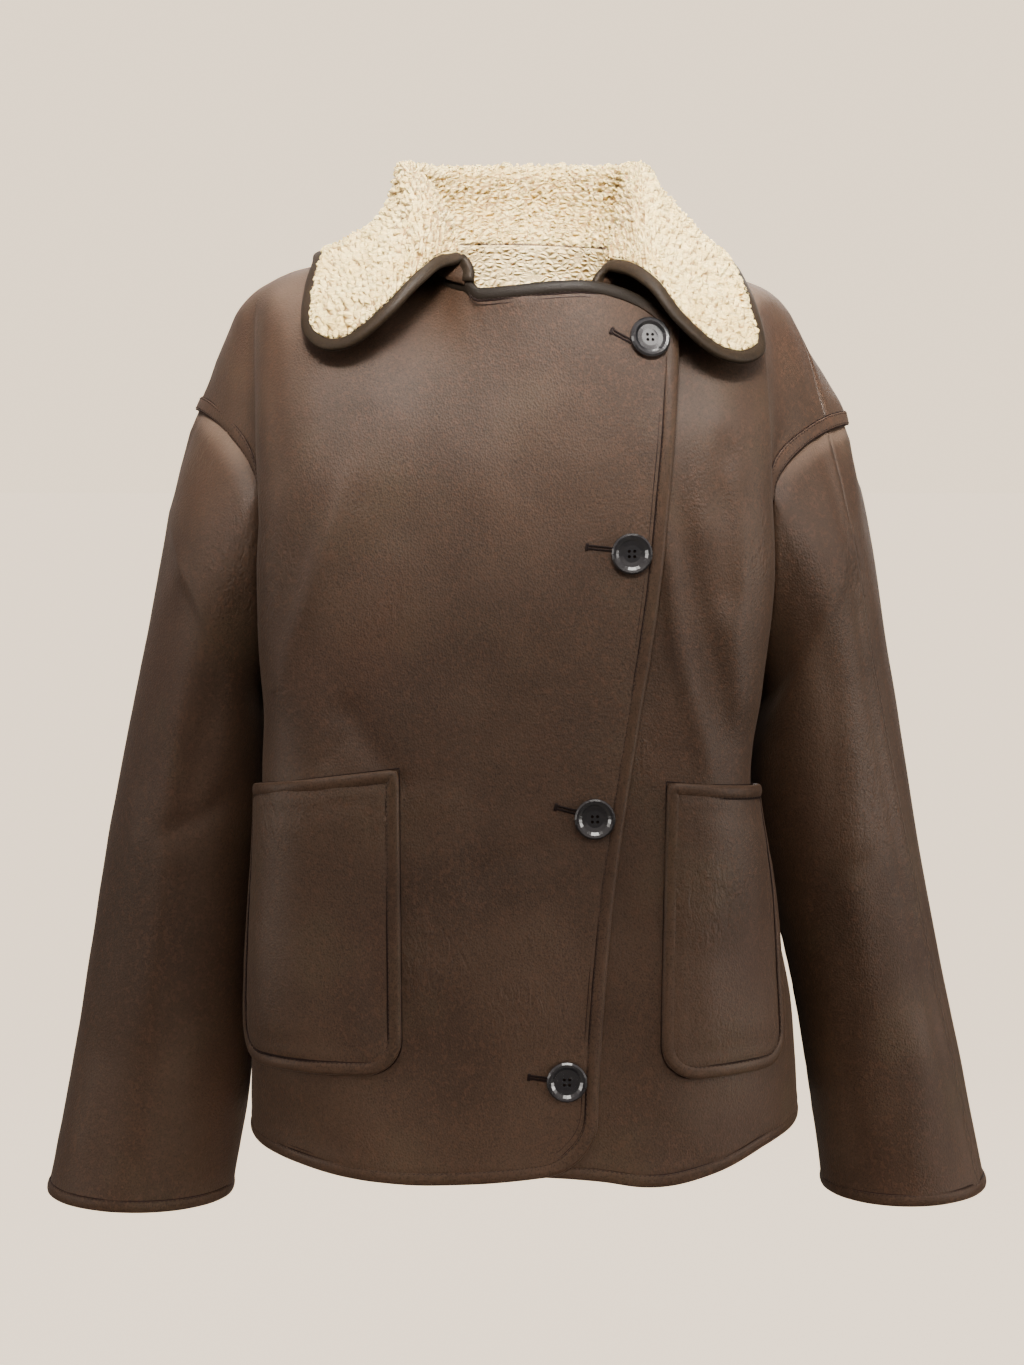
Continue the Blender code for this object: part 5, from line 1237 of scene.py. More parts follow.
def horn_like(name):
    """Polished black horn with faint smoky streaks."""
    made, tree, shader = new_material(name, 0.24)
    net = Graph(tree)
    streaks = net.noise(net.mapped((1.0, 1.0, 3.5), (0.0, 0.6, 0.0)), 120.0, 3.0, 0.6, 1.5)
    smoke = net.ranged(streaks, 0.50, 0.74)
    colour = net.mixed(smoke, paint(0.006, 0.006, 0.007), paint(0.016, 0.015, 0.015))
    net.link(colour, shader.inputs["Base Color"])
    shader.inputs["Coat Weight"].default_value = 0.7
    shader.inputs["Coat Roughness"].default_value = 0.10
    return made


def thread_like(name, colour):
    """Dull twisted thread."""
    made, tree, shader = new_material(name, 0.75, 0.15)
    net = Graph(tree)
    twist = net.noise(net.mapped((1, 1, 1)), 2600.0, 1.0, 0.5)
    twisted = net.mixed(net.ranged(twist, 0.35, 0.65), scaled(colour, 0.55), colour)
    net.link(twisted, shader.inputs["Base Color"])
    net.link(net.bump(twist, 0.4, 0.0002), shader.inputs["Normal"])
    return made


home = bpy.data.collections.new("sherpa_lined_jacket")
bpy.context.scene.collection.children.link(home)
# painted shade between the curls and the locks
PILE_PAINTED_SHADE = paint(0.27, 0.155, 0.050)  # between the curls
# painted highlight on what faces up
PAINTED_HIGHLIGHT_COLOUR = paint(0.125, 0.085, 0.062)
# painted shade along the neckline, under the collar
NECKLINE_PAINTED_SHADE = (paint(0.0062, 0.0042, 0.0026), -0.040, -0.020)  # the binding is dark along the neckline
BODY_COLOURS = (paint(0.023, 0.0119, 0.0063), paint(0.0365, 0.0205, 0.0118), paint(0.0355, 0.0165, 0.0090))
EDGE_COLOURS = (paint(0.024, 0.0134, 0.0080), paint(0.036, 0.0208, 0.0130), paint(0.034, 0.0178, 0.0105))
# painted shade: the collar's binding takes a darker copy of the binding's colours, as it faces down, away from
# the light
COLLAR_EDGE_SHADED_COLOURS = (paint(0.0105, 0.0068, 0.0037), paint(0.0165, 0.0106, 0.0058), paint(0.0155, 0.0092, 0.0050))
BAND_COLOURS = (paint(0.027, 0.0140, 0.0078), paint(0.041, 0.0225, 0.0132), paint(0.039, 0.0185, 0.0100))
SUEDE = suede_like("suede", BODY_COLOURS, 0.58)
EDGE = suede_like("suede_binding", EDGE_COLOURS, 0.52, 0.55, 0.2, 0.12, 0.12, NECKLINE_PAINTED_SHADE)
COLLAR_EDGE_SHADED = suede_like("suede_collar_binding_shaded", COLLAR_EDGE_SHADED_COLOURS, 0.55, 0.45, 0.2, 0.05, 0.12)
BAND = suede_like("suede_band", BAND_COLOURS, 0.52, 0.6, 0.3, 0.5, 0.20)
PILE = pile_like("sherpa_pile", paint(0.90, 0.71, 0.31), paint(0.81, 0.60, 0.22), 150.0, 1.8, 0.30)
LINING = pile_like("sherpa_lining", paint(0.88, 0.71, 0.37), paint(0.78, 0.59, 0.28), 170.0, 1.6, 0.50)
HORN = horn_like("black_horn")
THREAD = thread_like("thread", paint(0.015, 0.0080, 0.0060))
HOLE_THREAD = thread_like("buttonhole_thread", paint(0.0075, 0.0032, 0.0026))
# painted shade: a very dark thread for the lines of shade along borders, also used for one line of stitching
SHADE_AND_STITCH_THREAD = thread_like("painted_shade_and_stitch_thread", paint(0.0080, 0.0026, 0.0018))


# ---------------------------------------------------------------- the cloth
ROWS = (80, 34, 44)  # of a panel's grid: from the hem to the underarm, to the chest and to the shoulder
PANEL_COLUMNS = {"front_right": (76, 56), "front_left": (76, 26), "back": (34, 60)}  # shoulder and neckline
BOUND = BIND_WIDTH * 0.62  # the cloth ends this deep inside its binding

# Small creases, as lines seen from the front: x and z of both ends, height (+ ridge, - trough), half width.
CREASES = {
    "front_right": (
        (-0.1310, -0.1450, -0.1720, -0.3150, 0.0038, 0.0085),
        (-0.1500, -0.1700, -0.1830, -0.3300, -0.0022, 0.0120),
        (-0.1100, -0.1800, -0.1350, -0.3200, -0.0014, 0.0140),
        (-0.1720, -0.0250, -0.1740, -0.1500, -0.0016, 0.0075),
        (-0.0600, -0.2900, -0.0300, -0.5200, 0.0016, 0.0180),
        (-0.1200, -0.5900, -0.0700, -0.5200, -0.0012, 0.0140),
        (0.0150, -0.3900, -0.0400, -0.4300, -0.0009, 0.0100),
        (-0.1330, -0.3200, -0.1300, -0.3420, -0.0014, 0.0060),
    ),
    "front_left": (
        (0.1330, -0.1180, 0.1560, -0.2350, 0.0016, 0.0070),
        (0.0960, -0.1600, 0.1260, -0.3500, 0.0034, 0.0065),
        (0.1130, -0.1700, 0.1420, -0.3400, -0.0020, 0.0090),
        (0.0800, -0.2000, 0.0950, -0.3350, -0.0010, 0.0120),
        (0.0700, -0.4200, 0.0820, -0.6000, -0.0010, 0.0120),
        (0.1100, -0.5700, 0.1200, -0.6200, 0.0010, 0.0100),
    ),
    "back": (
        (-0.1500, -0.0900, -0.0950, -0.3400, 0.0028, 0.0110),
        (-0.1250, -0.1200, -0.0750, -0.3300, -0.0020, 0.0120),
        (0.1400, -0.1000, 0.0950, -0.3500, 0.0026, 0.0110),
        (0.1150, -0.1200, 0.0700, -0.3300, -0.0020, 0.0120),
        (0.0000, -0.2300, 0.0120, -0.5400, -0.0022, 0.0170),
        (0.0350, -0.3000, 0.0450, -0.5700, 0.0018, 0.0150),
        (-0.1300, -0.3900, -0.1100, -0.6000, -0.0020, 0.0130),
        (-0.0950, -0.4000, -0.0750, -0.6000, 0.0018, 0.0130),
        (0.1400, -0.3800, 0.1250, -0.5900, -0.0020, 0.0130),
        (-0.0700, -0.0250, 0.0700, -0.0300, -0.0014, 0.0100),
    ),
    "sleeve_right": (
        (-0.2250, -0.1150, -0.2480, -0.2300, 0.0018, 0.0080),
        (-0.2050, -0.2200, -0.2500, -0.4200, -0.0024, 0.0120),
        (-0.2330, -0.2600, -0.2820, -0.5600, 0.0024, 0.0110),
        (-0.2150, -0.4750, -0.2560, -0.4250, -0.0018, 0.0080),
        (-0.2100, -0.3650, -0.2600, -0.4050, -0.0016, 0.0080),
        (-0.2400, -0.5400, -0.2520, -0.6600, 0.0016, 0.0110),
        (-0.3000, -0.5400, -0.3200, -0.6700, -0.0018, 0.0130),
    ),
    "sleeve_left": (
        (0.1980, -0.1500, 0.2120, -0.2700, 0.0016, 0.0080),
        (0.2000, -0.2200, 0.2330, -0.3800, -0.0022, 0.0120),
        (0.2220, -0.3000, 0.2560, -0.5200, 0.0020, 0.0120),
        (0.2050, -0.4600, 0.2450, -0.4100, -0.0018, 0.0080),
        (0.2350, -0.5200, 0.2480, -0.6600, -0.0016, 0.0110),
        (0.2850, -0.5400, 0.3000, -0.6700, 0.0016, 0.0120),
    ),
}


# Where the front breaks sharply over the arm: x and z of both ends, half the step's height and its reach.
BREAKS = {
    "front_right": (-0.1915, -0.0150, -0.1855, -0.1800, 0.0017, 0.0110),
    "front_left": (0.1690, -0.0200, 0.1770, -0.2000, 0.0017, 0.0110),
}
BREAK_SHARPNESS = 0.0012


def break_relief(points, line, inward):
    """A ridge on the body's side of a line and a trough on the sleeve's side, with a sharp step between."""
    x0, z0, x1, z1, height, reach = line
    share = (points[..., 2] - z0) / (z1 - z0)
    off = (points[..., 0] - x0 - (x1 - x0) * np.clip(share, 0, 1)) * inward
    ends = eased(share * 5.0 + 0.2) * eased((1 - share) * 5.0 + 0.2)
    return height * ends * np.tanh(off / BREAK_SHARPNESS) * np.exp(-np.abs(off) / reach)


def inside_seams(points, edges):
    """A weight that fades creases out at the seams."""
    return np.prod([eased(from_edge(points, edge) / 0.012) for edge in edges], axis=0)


def both_skins(points, normals, relief):
    """The suede skin, and the lining's skin, which follows the troughs but not the ridges."""
    deep = WALL + pile_relief(points) - np.minimum(relief, 0)
    return points + normals * relief[..., None], points - normals * deep[..., None]


def panel_skins(name, panel):
    """Both skins of one body panel, with its folds, seams and the pull at its bindings."""
    points = panel.points
    side_edges = ("first_column", "last_column") if name == "back" else ("first_column",)
    relief = soft_relief(points)
    for edge in side_edges:
        relief = relief + seam_relief(points, edge)
    relief = relief + bound_relief(points, from_edge(points, "first_row"))
    at_shoulder = 1 - eased((np.arange(points.shape[1]) - PANEL_COLUMNS[name][0] + 2) / 6)
    if name == "back":
        at_shoulder = at_shoulder + at_shoulder[::-1]
    relief = relief + seam_relief(points, "last_row") * at_shoulder
    if name == "front_right":
        relief = relief + bound_relief(points, from_edge(points, "last_column"))
        relief = relief + bound_relief(points, from_edge(points, "last_row")) * (1 - at_shoulder)
    creases = line_relief(points, CREASES[name])
    if name in BREAKS:
        creases = creases + break_relief(points, BREAKS[name], 1 if name == "front_right" else -1)
    return both_skins(points, panel.normals, relief + creases * inside_seams(points, side_edges))


PANELS = {}
for name in ("front_right", "front_left", "back"):
    panel = Panel(name, ROWS, PANEL_COLUMNS[name], BOUND)
    outer, inner = panel_skins(name, panel)
    PANELS[name] = (panel, outer)
    made = shell(f"cloth_{name}", outer, inner, [SUEDE, LINING])
    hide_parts(name)

SIDES = ((-1, "right"), (1, "left"))
FACES = ((-1, "front"), (1, "back"))
SLEEVE_ROWS, SLEEVE_STEPS = 132, 56
BACK_CREASES = np.array([1, 1, 1.04])  # a sleeve's back half has the front's creases, a little higher up
ARMHOLE_TUCK = 0.0044  # the sleeves run this far under the body's cloth at the armhole
ARMHOLE_SINK = 0.0012
UNDERARM_PUSH = {"right": 0.0, "left": 0.0052}  # towards the body, just below the armhole


def sleeve_grid(side, face, rows, steps):
    """The points and normals of one half of a sleeve."""
    points = sleeve_half(side, face, rows, steps)
    return points, grid_normals(points) * (-side * face)


def underarm_push(points):
    """Where the underarm seam stands out towards the body, so that no gap shows between them."""
    below = from_edge(points, "first_row")
    return bump(from_edge(points, "last_column"), 0, 0.055) * bump(below, 0.010, 0.022) * eased(below / 0.008)


def armhole_tuck(word, half, seam):
    """How a sleeve's first row moves to lie under the body's panel."""
    panel = PANELS["back" if half == "back" else f"front_{word}"][0]
    edge, inside_column = (-1, -4) if (word, half) == ("left", "back") else (0, 3)
    line, within = panel.points[ROWS[0] - 1 :, edge], panel.points[ROWS[0] - 1 :, inside_column]
    nearest = np.argmin(np.linalg.norm(seam[:, None] - line[None], axis=2), axis=1)
    inward = unit(within - line)[nearest]
    return ARMHOLE_TUCK * inward - ARMHOLE_SINK * panel.normals[ROWS[0] - 1 :, edge][nearest]


for side, word in SIDES:
    grids = [sleeve_grid(side, face, SLEEVE_ROWS, SLEEVE_STEPS) for face, _ in FACES]
    for column in (0, -1):
        shared = unit(grids[0][1][:, column] + grids[1][1][:, column])
        for _, normals in grids:
            normals[:, column] = shared
    for (face, half), (points, normals) in zip(FACES, grids):
        points = points + normals * (UNDERARM_PUSH[word] * underarm_push(points))[..., None]
        relief = soft_relief(points) + seam_relief(points, "first_row", 0.0009)
        relief = relief + overarm_relief(points) + seam_relief(points, "last_column")
        relief = relief + bound_relief(points, from_edge(points, "last_row"))
        creases = line_relief(points if face < 0 else points * BACK_CREASES, CREASES[f"sleeve_{word}"])
        relief = relief + creases * inside_seams(points, ("first_column", "last_column", "first_row"))
        outer, inner = both_skins(points, normals, relief)
        tuck = armhole_tuck(word, half, points[0])
        for skin in (outer, inner):
            skin[-1] += BOUND * unit(points[-2] - points[-1])
            skin[0] += tuck
        made = shell(f"cloth_sleeve_{word}_{half}", outer, inner, [SUEDE, LINING])
        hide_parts(f"sleeve_{word}_{half}")


# ---------------------------------------------------------------- bound edges and their stitching
edge_threads, seam_threads, shade_and_stitch_tubes = Threads(), Threads(), Threads()
NECK_EDGE_X = -0.0560  # the neckline's binding starts here, under the collar's end
STITCH_INSET = BIND_WIDTH - 0.0005
SHADE_LINE_INSET = BIND_WIDTH + 0.0003


def binding(name, path, normals, closed=False, back=1.0, inward=None):
    """A folded binding along a path on the cloth's outside. inward gives the way into the cloth."""
    path, normals = spaced(path - normals * WALL / 2, normals, LINE_STEP, closed)
    flip = 1.0
    if inward is not None:
        flip = 1.0 if (frame_of(path, normals, closed)[1] * inward(path)).sum() > 0 else -1.0
    size = (BIND_WIDTH, BIND_THICK)
    made = strip(f"edge_{name}", path, normals, *size, BINDING_SECTION, EDGE, closed, back, flip)
    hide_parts(f"binding_{name}")


def border_path(name, inset):
    """The line at an inset from a body panel's free edges, with its normals, on the cloth's outside."""
    panel = Panel(name, (60, 30, 40), PANEL_COLUMNS[name], inset)
    points, own = panel.points, panel.normals
    if name != "front_right":
        return points[0], own[0]
    first = int(np.argmax(points[-1, :, 0] > NECK_EDGE_X))
    grids = (points, own)
    return tuple(np.concatenate([grid[-1, first:], grid[-2:0:-1, -1], grid[0, ::-1]]) for grid in grids)


for name in ("front_right", "front_left", "back"):
    binding(name, *border_path(name, BIND_WIDTH / 2))
    stitch_line(edge_threads, *border_path(name, STITCH_INSET), 0.0004)
    # painted shade along the binding's inner border
    shade_and_stitch_line(*border_path(name, SHADE_LINE_INSET), 0.0001)
    if name == "front_right":
        # a second line of stitching, in the same dark thread
        shade_and_stitch_line(*border_path(name, BIND_WIDTH + 0.0030), 0.0001, 0.00026)


def cuff_path(halves, inset):
    """The closed line at an inset from a sleeve's cuff, with its normals."""
    (front, front_normals), (back, back_normals) = (
        (points[-1] + inset * unit(points[-2] - points[-1]), normals[-1]) for points, normals in halves
    )
    normals = unit(np.concatenate([front_normals[:-1], back_normals[:0:-1]]))
    return np.concatenate([front[:-1], back[:0:-1]]), normals


for side, word in SIDES:
    halves = [sleeve_grid(side, face, 80, 60) for face, _ in FACES]
    binding(f"cuff_{word}", *cuff_path(halves, BIND_WIDTH / 2), True, inward=lambda path: np.array([0, 0, 1]))
    stitch_line(edge_threads, *cuff_path(halves, STITCH_INSET), 0.0004, closed=True)
    # painted shade along the binding's inner border
    shade_and_stitch_line(*cuff_path(halves, SHADE_LINE_INSET), 0.0001, closed=True)

# The stitched strips beside the armhole seams.
BAND_ROWS = (30, 30, 60)
BAND_COLUMNS = {"front": (63, 6), "back": (63, 8)}
BAND_MIDDLE = BAND_WIDTH / 2 + BAND_FROM_SEAM  # from the seam
BAND_RISE = BAND_LIFT + BAND_THICK / 2
BAND_SUNK = 0.0018  # the cloth takes the strip in by this much, and its stitches by a little less
BAND_STITCH_SUNK = 0.0014
BAND_SMOOTHING = 24  # rounds in which the normals along the strip are evened out
for word, at, step in (("right", 0, 1), ("left", -1, -1)):
    chest = BAND_ROWS[0] + BAND_ROWS[1] - 1
    front = Panel(f"front_{word}", BAND_ROWS, BAND_COLUMNS["front"])
    back = Panel("back", BAND_ROWS, BAND_COLUMNS["back"])
    line = np.concatenate([front.points[chest:, 0], back.points[-2 : chest - 1 : -1, at]])
    beside = np.concatenate([front.points[chest:, 6], back.points[-2 : chest - 1 : -1, at + 6 * step]])
    normals = np.concatenate([front.normals[chest:, 3], back.normals[-2 : chest - 1 : -1, at + 3 * step]])
    for _ in range(BAND_SMOOTHING):
        normals[1:-1] = unit(normals[:-2] + 2 * normals[1:-1] + normals[2:])
    inward = np.cross(normals, unit(np.gradient(line, axis=0)))
    inward = unit(inward * np.sign((inward * (beside - line)).sum(axis=1))[:, None])
    path = line + inward * BAND_MIDDLE + normals * (BAND_RISE - BAND_SUNK)
    path, band_normals = spaced(path, normals, LINE_STEP)
    made = strip(f"band_{word}", path, band_normals, BAND_WIDTH, BAND_THICK, BAND_SECTION, BAND, back=1.6)
    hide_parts(f"armhole_band_{word}")
    for offset in (-0.38, 0.38):
        away = inward * (BAND_MIDDLE + offset * BAND_WIDTH)
        stitch_line(seam_threads, line + away + normals * (BAND_RISE - BAND_STITCH_SUNK), normals)
    # painted shade along both borders of the strip
    for offset in (-0.52, 0.52):
        away = inward * (BAND_MIDDLE + offset * BAND_WIDTH)
        shade_and_stitch_line(line + away + normals * 0.0002, normals, 0.0, 0.00050)


# ---------------------------------------------------------------- the collar
SEAM_TUCK = 0.0030  # the collar runs this far down inside the neckline
PILE_INSET = BIND_WIDTH * 0.90
PILE_INNER_STEP = 13  # the pile's inner skin has one row for this many of the outer one
LEAF_LINE = 50  # the line down the leaf on which the length round it is taken
# Soft folds of both leaves, as lines seen from the front, like the creases of the cloth.
COLLAR_FOLDS = (
    (-0.1050, 0.0560, -0.0990, 0.0000, 0.0026, 0.0080),
    (-0.0890, 0.0720, -0.0830, 0.0050, -0.0020, 0.0060),
    (-0.0730, 0.0700, -0.0640, 0.0100, 0.0024, 0.0080),
    (0.0900, 0.0720, 0.0820, 0.0100, 0.0020, 0.0080),
    (0.1150, 0.0500, 0.1250, -0.0100, 0.0014, 0.0120),
)
collar_points, collar_normals = collar_surface()
collar_round = np.linalg.norm(np.diff(collar_points, axis=0), axis=2).sum(axis=0)[LEAF_LINE]
collar_down = np.linalg.norm(np.diff(collar_points, axis=1), axis=2).sum(axis=1)[0]


def collar_reach(edge, inner, share):
    """The collar's whole length square to an edge, judged from a line that lies this share further in."""
    away = inner - edge
    run = unit(np.gradient(edge, axis=0))
    square = away - (away * run).sum(axis=1)[:, None] * run
    return np.linalg.norm(square, axis=1) / share


FIRST_END = collar_reach(collar_points[0], collar_points[2], 2 / COLLAR_AROUND)
LAST_END = collar_reach(collar_points[-1], collar_points[-3], 2 / COLLAR_AROUND)
LEAF_EDGE = collar_reach(collar_points[:, -1], collar_points[:, -4], 3 / COLLAR_DOWN)


def collar_shares(inset, columns, rows):
    """Shares round the neck and down the leaf of a grid whose free edges are drawn in by an inset."""
    places, down = rounded_patch(collar_round, collar_down, inset, COLLAR_CORNER_RADIUS, columns, rows, 0.0)
    round_share = (places - inset) / (collar_round - 2 * inset)
    edge_here = np.interp(round_share, np.linspace(0, 1, len(LEAF_EDGE)), LEAF_EDGE)
    down_share = down / (collar_down - inset) * (1 - inset / edge_here)
    tucked = max(inset - BIND_WIDTH / 2, 0) * (1 - eased((down_share - 0.14) / 0.16))
    shares = np.linspace(0, 1, len(FIRST_END))
    near = (inset + 0.75 * tucked) / np.interp(down_share, shares, FIRST_END)
    far = (inset * 1.15 + 0.25 * tucked) / np.interp(down_share, shares, LAST_END)
    return near + (1 - near - far) * round_share, down_share


def collar_grid(inset, columns, rows):
    """The points and normals of a grid over the collar, and its shares. Its first axis runs down the leaf."""
    shares = collar_shares(inset, columns, rows)
    return sampled(collar_points, *shares), unit(sampled(collar_normals, *shares)), *shares


def rim_distance(points, edges=("last_row", "first_column", "last_column")):
    return np.minimum.reduce([from_edge(points, edge) for edge in edges])


def tuck_in(*skins):
    """Runs the collar's first row down inside the neckline."""
    for skin in skins:
        skin[0] += SEAM_TUCK * unit(skin[0] - skin[1])


points, normals, _, _ = collar_grid(BOUND, 200, 46)
inside = eased(rim_distance(points) / 0.006)
outer = points - normals * 0.0022
inner = points - normals * (COLLAR_WALL - 0.0002 - 0.0006 * lumps(points, 0.03, 34) * inside)[..., None]
tuck_in(outer, inner)
made = shell("collar_cloth", outer, inner, [PILE, SUEDE], 1)
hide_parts("collar")

points, normals, round_share, down_share = collar_grid(PILE_INSET, 420, 170)
inside = eased(rim_distance(points) / 0.0040)
across, down = round_share * collar_round / CURL_WIDTH, down_share * collar_down / CURL_HEIGHT
pillow, height = curl_field(across, down, 31)
height = CURL_RISE * height + 0.0010 * lumps(points, 0.024, 33)
height = (height - 0.0012) * (0.35 + 0.65 * inside) + 0.0002
in_front = eased((-0.02 - points[..., 1]) / 0.02) * inside
height = height + line_relief(points, COLLAR_FOLDS) * in_front
outer = points + normals * height[..., None]
teeth = 0.0024 * np.clip(lumps(points[-1], 0.0034, 36) + 0.35, 0, 1)
near_rim = 1 - eased(from_edge(points, "last_row") / 0.0045)
outward = unit(points[-1] - points[-6])
outer = outer + near_rim[..., None] * (teeth[:, None] * outward)[None]
inner = points[::PILE_INNER_STEP] - normals[::PILE_INNER_STEP] * 0.0019
tuck_in(outer, inner)
made = pile_shell("collar_pile", outer, inner, PILE)
# painted shade between the curls, strongest in each curl's lower part; the inner skin is all shade
curl_crease_shade = np.concatenate([(1 - pillow).ravel(), np.ones(inner.shape[0] * inner.shape[1])])
made.data.attributes.new("curl_crease_shade", "FLOAT", "POINT").data.foreach_set("value", curl_crease_shade)


def collar_rim(inset, lift, skipped=0):
    """The line down one end of the collar, along its leaf and up the other end, with its normals."""
    line, direction, _, _ = collar_grid(inset, 240, 60)
    grids = (line + direction * lift, direction)
    last = skipped - 1 if skipped else None
    return (np.concatenate([grid[skipped:-1, 0], grid[-1, :-1], grid[:last:-1, -1]]) for grid in grids)


path, direction = spaced(*collar_rim(BIND_WIDTH / 2, -COLLAR_WALL / 2), LINE_STEP)
middle = len(path) // 2
further_in = collar_grid(BIND_WIDTH * 1.5, 240, 60)[0][-1, 100:140].mean(axis=0)
inward = further_in - path[middle]
flip = 1.0 if np.dot(frame_of(path, direction, False)[1][middle], inward) > 0 else -1.0
thick = COLLAR_WALL + 0.0004
made = strip("edge_collar", path, direction, BIND_WIDTH, thick, BINDING_SECTION, COLLAR_EDGE_SHADED, flip=flip)
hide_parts("binding_collar")
path, direction = collar_rim(BIND_WIDTH - 0.0004, 0.0002, 8)
stitch_line(edge_threads, path, direction)
path, direction = collar_rim(BIND_WIDTH - 0.0004, -COLLAR_WALL - 0.0004, 8)
stitch_line(edge_threads, path, -direction)

# Loose curls that stand a little proud of the pile, most of them along its outer rim.
generator = np.random.default_rng(17)


def tufts(threads, round_share, down_share, length, radius, lift, aim=0.0):
    """Curls at places of the collar. They lie round the neck where aim is 0, and turn away with it."""
    count = len(round_share)
    step = 1e-3
    spots = sampled(collar_points, round_share, down_share)
    up = unit(sampled(collar_normals, round_share, down_share))
    ahead = sampled(collar_points, round_share + step, down_share)
    round_way = unit(ahead - sampled(collar_points, round_share - step, down_share))
    down_way = unit(np.cross(up, round_way))
    turn = aim + 0.45 * generator.normal(size=count) + 0.3 * lumps(spots, 0.012, 41) * math.pi
    forward = unit(np.cos(turn)[:, None] * round_way + np.sin(turn)[:, None] * down_way)
    side = unit(np.cross(up, forward))
    stations = np.linspace(0, 1, 5)
    longs = length * generator.uniform(0.7, 1.25, count)
    bend = longs * generator.uniform(-0.30, 0.30, count)
    phase = generator.uniform(0, math.pi, count)
    curve = np.sin(stations[None] * math.pi * 1.3 + phase[:, None])
    arch = np.sin(stations * math.pi)
    heights = lift + generator.uniform(-0.0006, 0.0008, count)
    centres = (
        spots[:, None]
        + forward[:, None] * (longs[:, None] * (stations - 0.5))[..., None]
        + side[:, None] * (bend[:, None] * curve)[..., None]
        + up[:, None] * (heights[:, None] + 0.0010 * arch[None])[..., None]
    )
    thick = radius * generator.uniform(0.75, 1.25, count)[:, None] * (0.45 + 0.55 * arch)[None]
    threads.add(centres, side[:, None], up[:, None], thick)


SCATTERED_CURLS, RIM_CURLS = 60, 640
curls = Threads()
round_share = generator.uniform(0.02, 0.98, SCATTERED_CURLS)
down_share = generator.uniform(0.03, 0.92, SCATTERED_CURLS)
at_corner = (np.minimum(round_share, 1 - round_share) < 0.04) & (down_share > 0.84)
tufts(curls, round_share[~at_corner], down_share[~at_corner], 0.0048, 0.00120, 0.0002)
round_share = np.linspace(0.03, 0.97, RIM_CURLS) + generator.uniform(-0.001, 0.001, RIM_CURLS)
centre = COLLAR_AROUND // 2
spot = collar_points[centre, LEAF_LINE]
down_way = np.cross(collar_normals[centre, LEAF_LINE], collar_points[centre + 1, LEAF_LINE] - spot)
outwards = math.copysign(math.pi / 2, np.dot(down_way, collar_points[centre, LEAF_LINE + 1] - spot))
tufts(curls, round_share, generator.uniform(0.925, 0.940, RIM_CURLS), 0.0050, 0.00115, 0.0004, outwards)
curls.finish("collar_curls", PILE, "pile")

# ---------------------------------------------------------------- pockets
POCKET_OUTSIDE = POCKET_LIFT + WALL
ALL_EDGES = ("first_row", "last_row", "first_column", "last_column")


def pocket_grid(word, inset):
    """The points and normals of a grid on the front under a pocket, drawn in by an inset."""
    width, height = POCKETS[word][0], POCKETS[word][4] - POCKETS[word][6]
    return pocket_place(word, *rounded_patch(width, height, inset, POCKET_CORNER_RADIUS, 46, 70), inset)


def pocket_rim(word, inset, lift=0.0):
    """The line round a pocket at an inset from its edge, lifted off the front, with its normals."""
    points, normals = (patch_rim(grid) for grid in pocket_grid(word, inset))
    return points + normals * lift, normals


for word in POCKETS:
    points, normals = pocket_grid(word, BOUND)
    rim = rim_distance(points, ALL_EDGES)
    full = 0.0016 * eased(rim / 0.030) + 0.0005 * bump(rim, 0.008, 0.004)
    relief = soft_relief(points) + full + pucker(points, rim, 0.0003, 0.009, 0.012, 8)
    outer = points + normals * (POCKET_OUTSIDE + relief)[..., None]
    inner = points + normals * POCKET_LIFT
    made = shell(f"cloth_pocket_{word}", outer, inner, [SUEDE, LINING])
    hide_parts(f"pocket_{word}")
    centre = pocket_grid(word, BIND_WIDTH / 2)[0].mean(axis=(0, 1))
    rim = pocket_rim(word, BIND_WIDTH / 2, POCKET_OUTSIDE)
    binding(f"pocket_{word}", *rim, True, 1.45, lambda path: centre - path)
    stitch_line(edge_threads, *pocket_rim(word, STITCH_INSET, POCKET_OUTSIDE), 0.0004, closed=True)
    # painted shade along the binding's inner border and at the pocket's outer edge
    shade_and_stitch_line(*pocket_rim(word, BIND_WIDTH + 0.0004), POCKET_OUTSIDE + 0.0002, closed=True)
    shade_and_stitch_line(*pocket_rim(word, 0.0), 0.0006, closed=True)

# ---------------------------------------------------------------- buttons, threads and buttonholes
front, front_outer = PANELS["front_right"]


def on_front(x, z):
    """The place and normal on the upper front at x and z."""
    flat = np.hypot(front_outer[..., 0] - x, front_outer[..., 2] - z)
    row, column = np.unravel_index(np.argmin(flat), flat.shape)
    normal = front.normals[row, column]
    near = front_outer[row, column]
    place = np.array([x, 0.0, z])
    place[1] = near[1] + ((near - place) * normal * np.array([1, 0, 1])).sum() / normal[1]
    return place, normal


# From the outer end of each buttonhole to its end under the button: x and z of both.
BUTTONHOLES = (
    (0.0601, -0.0418, 0.0740, -0.0492),
    (0.0434, -0.1895, 0.0640, -0.1915),
    (0.0223, -0.3690, 0.0395, -0.3735),
    (0.0038, -0.5575, 0.0200, -0.5595),
)
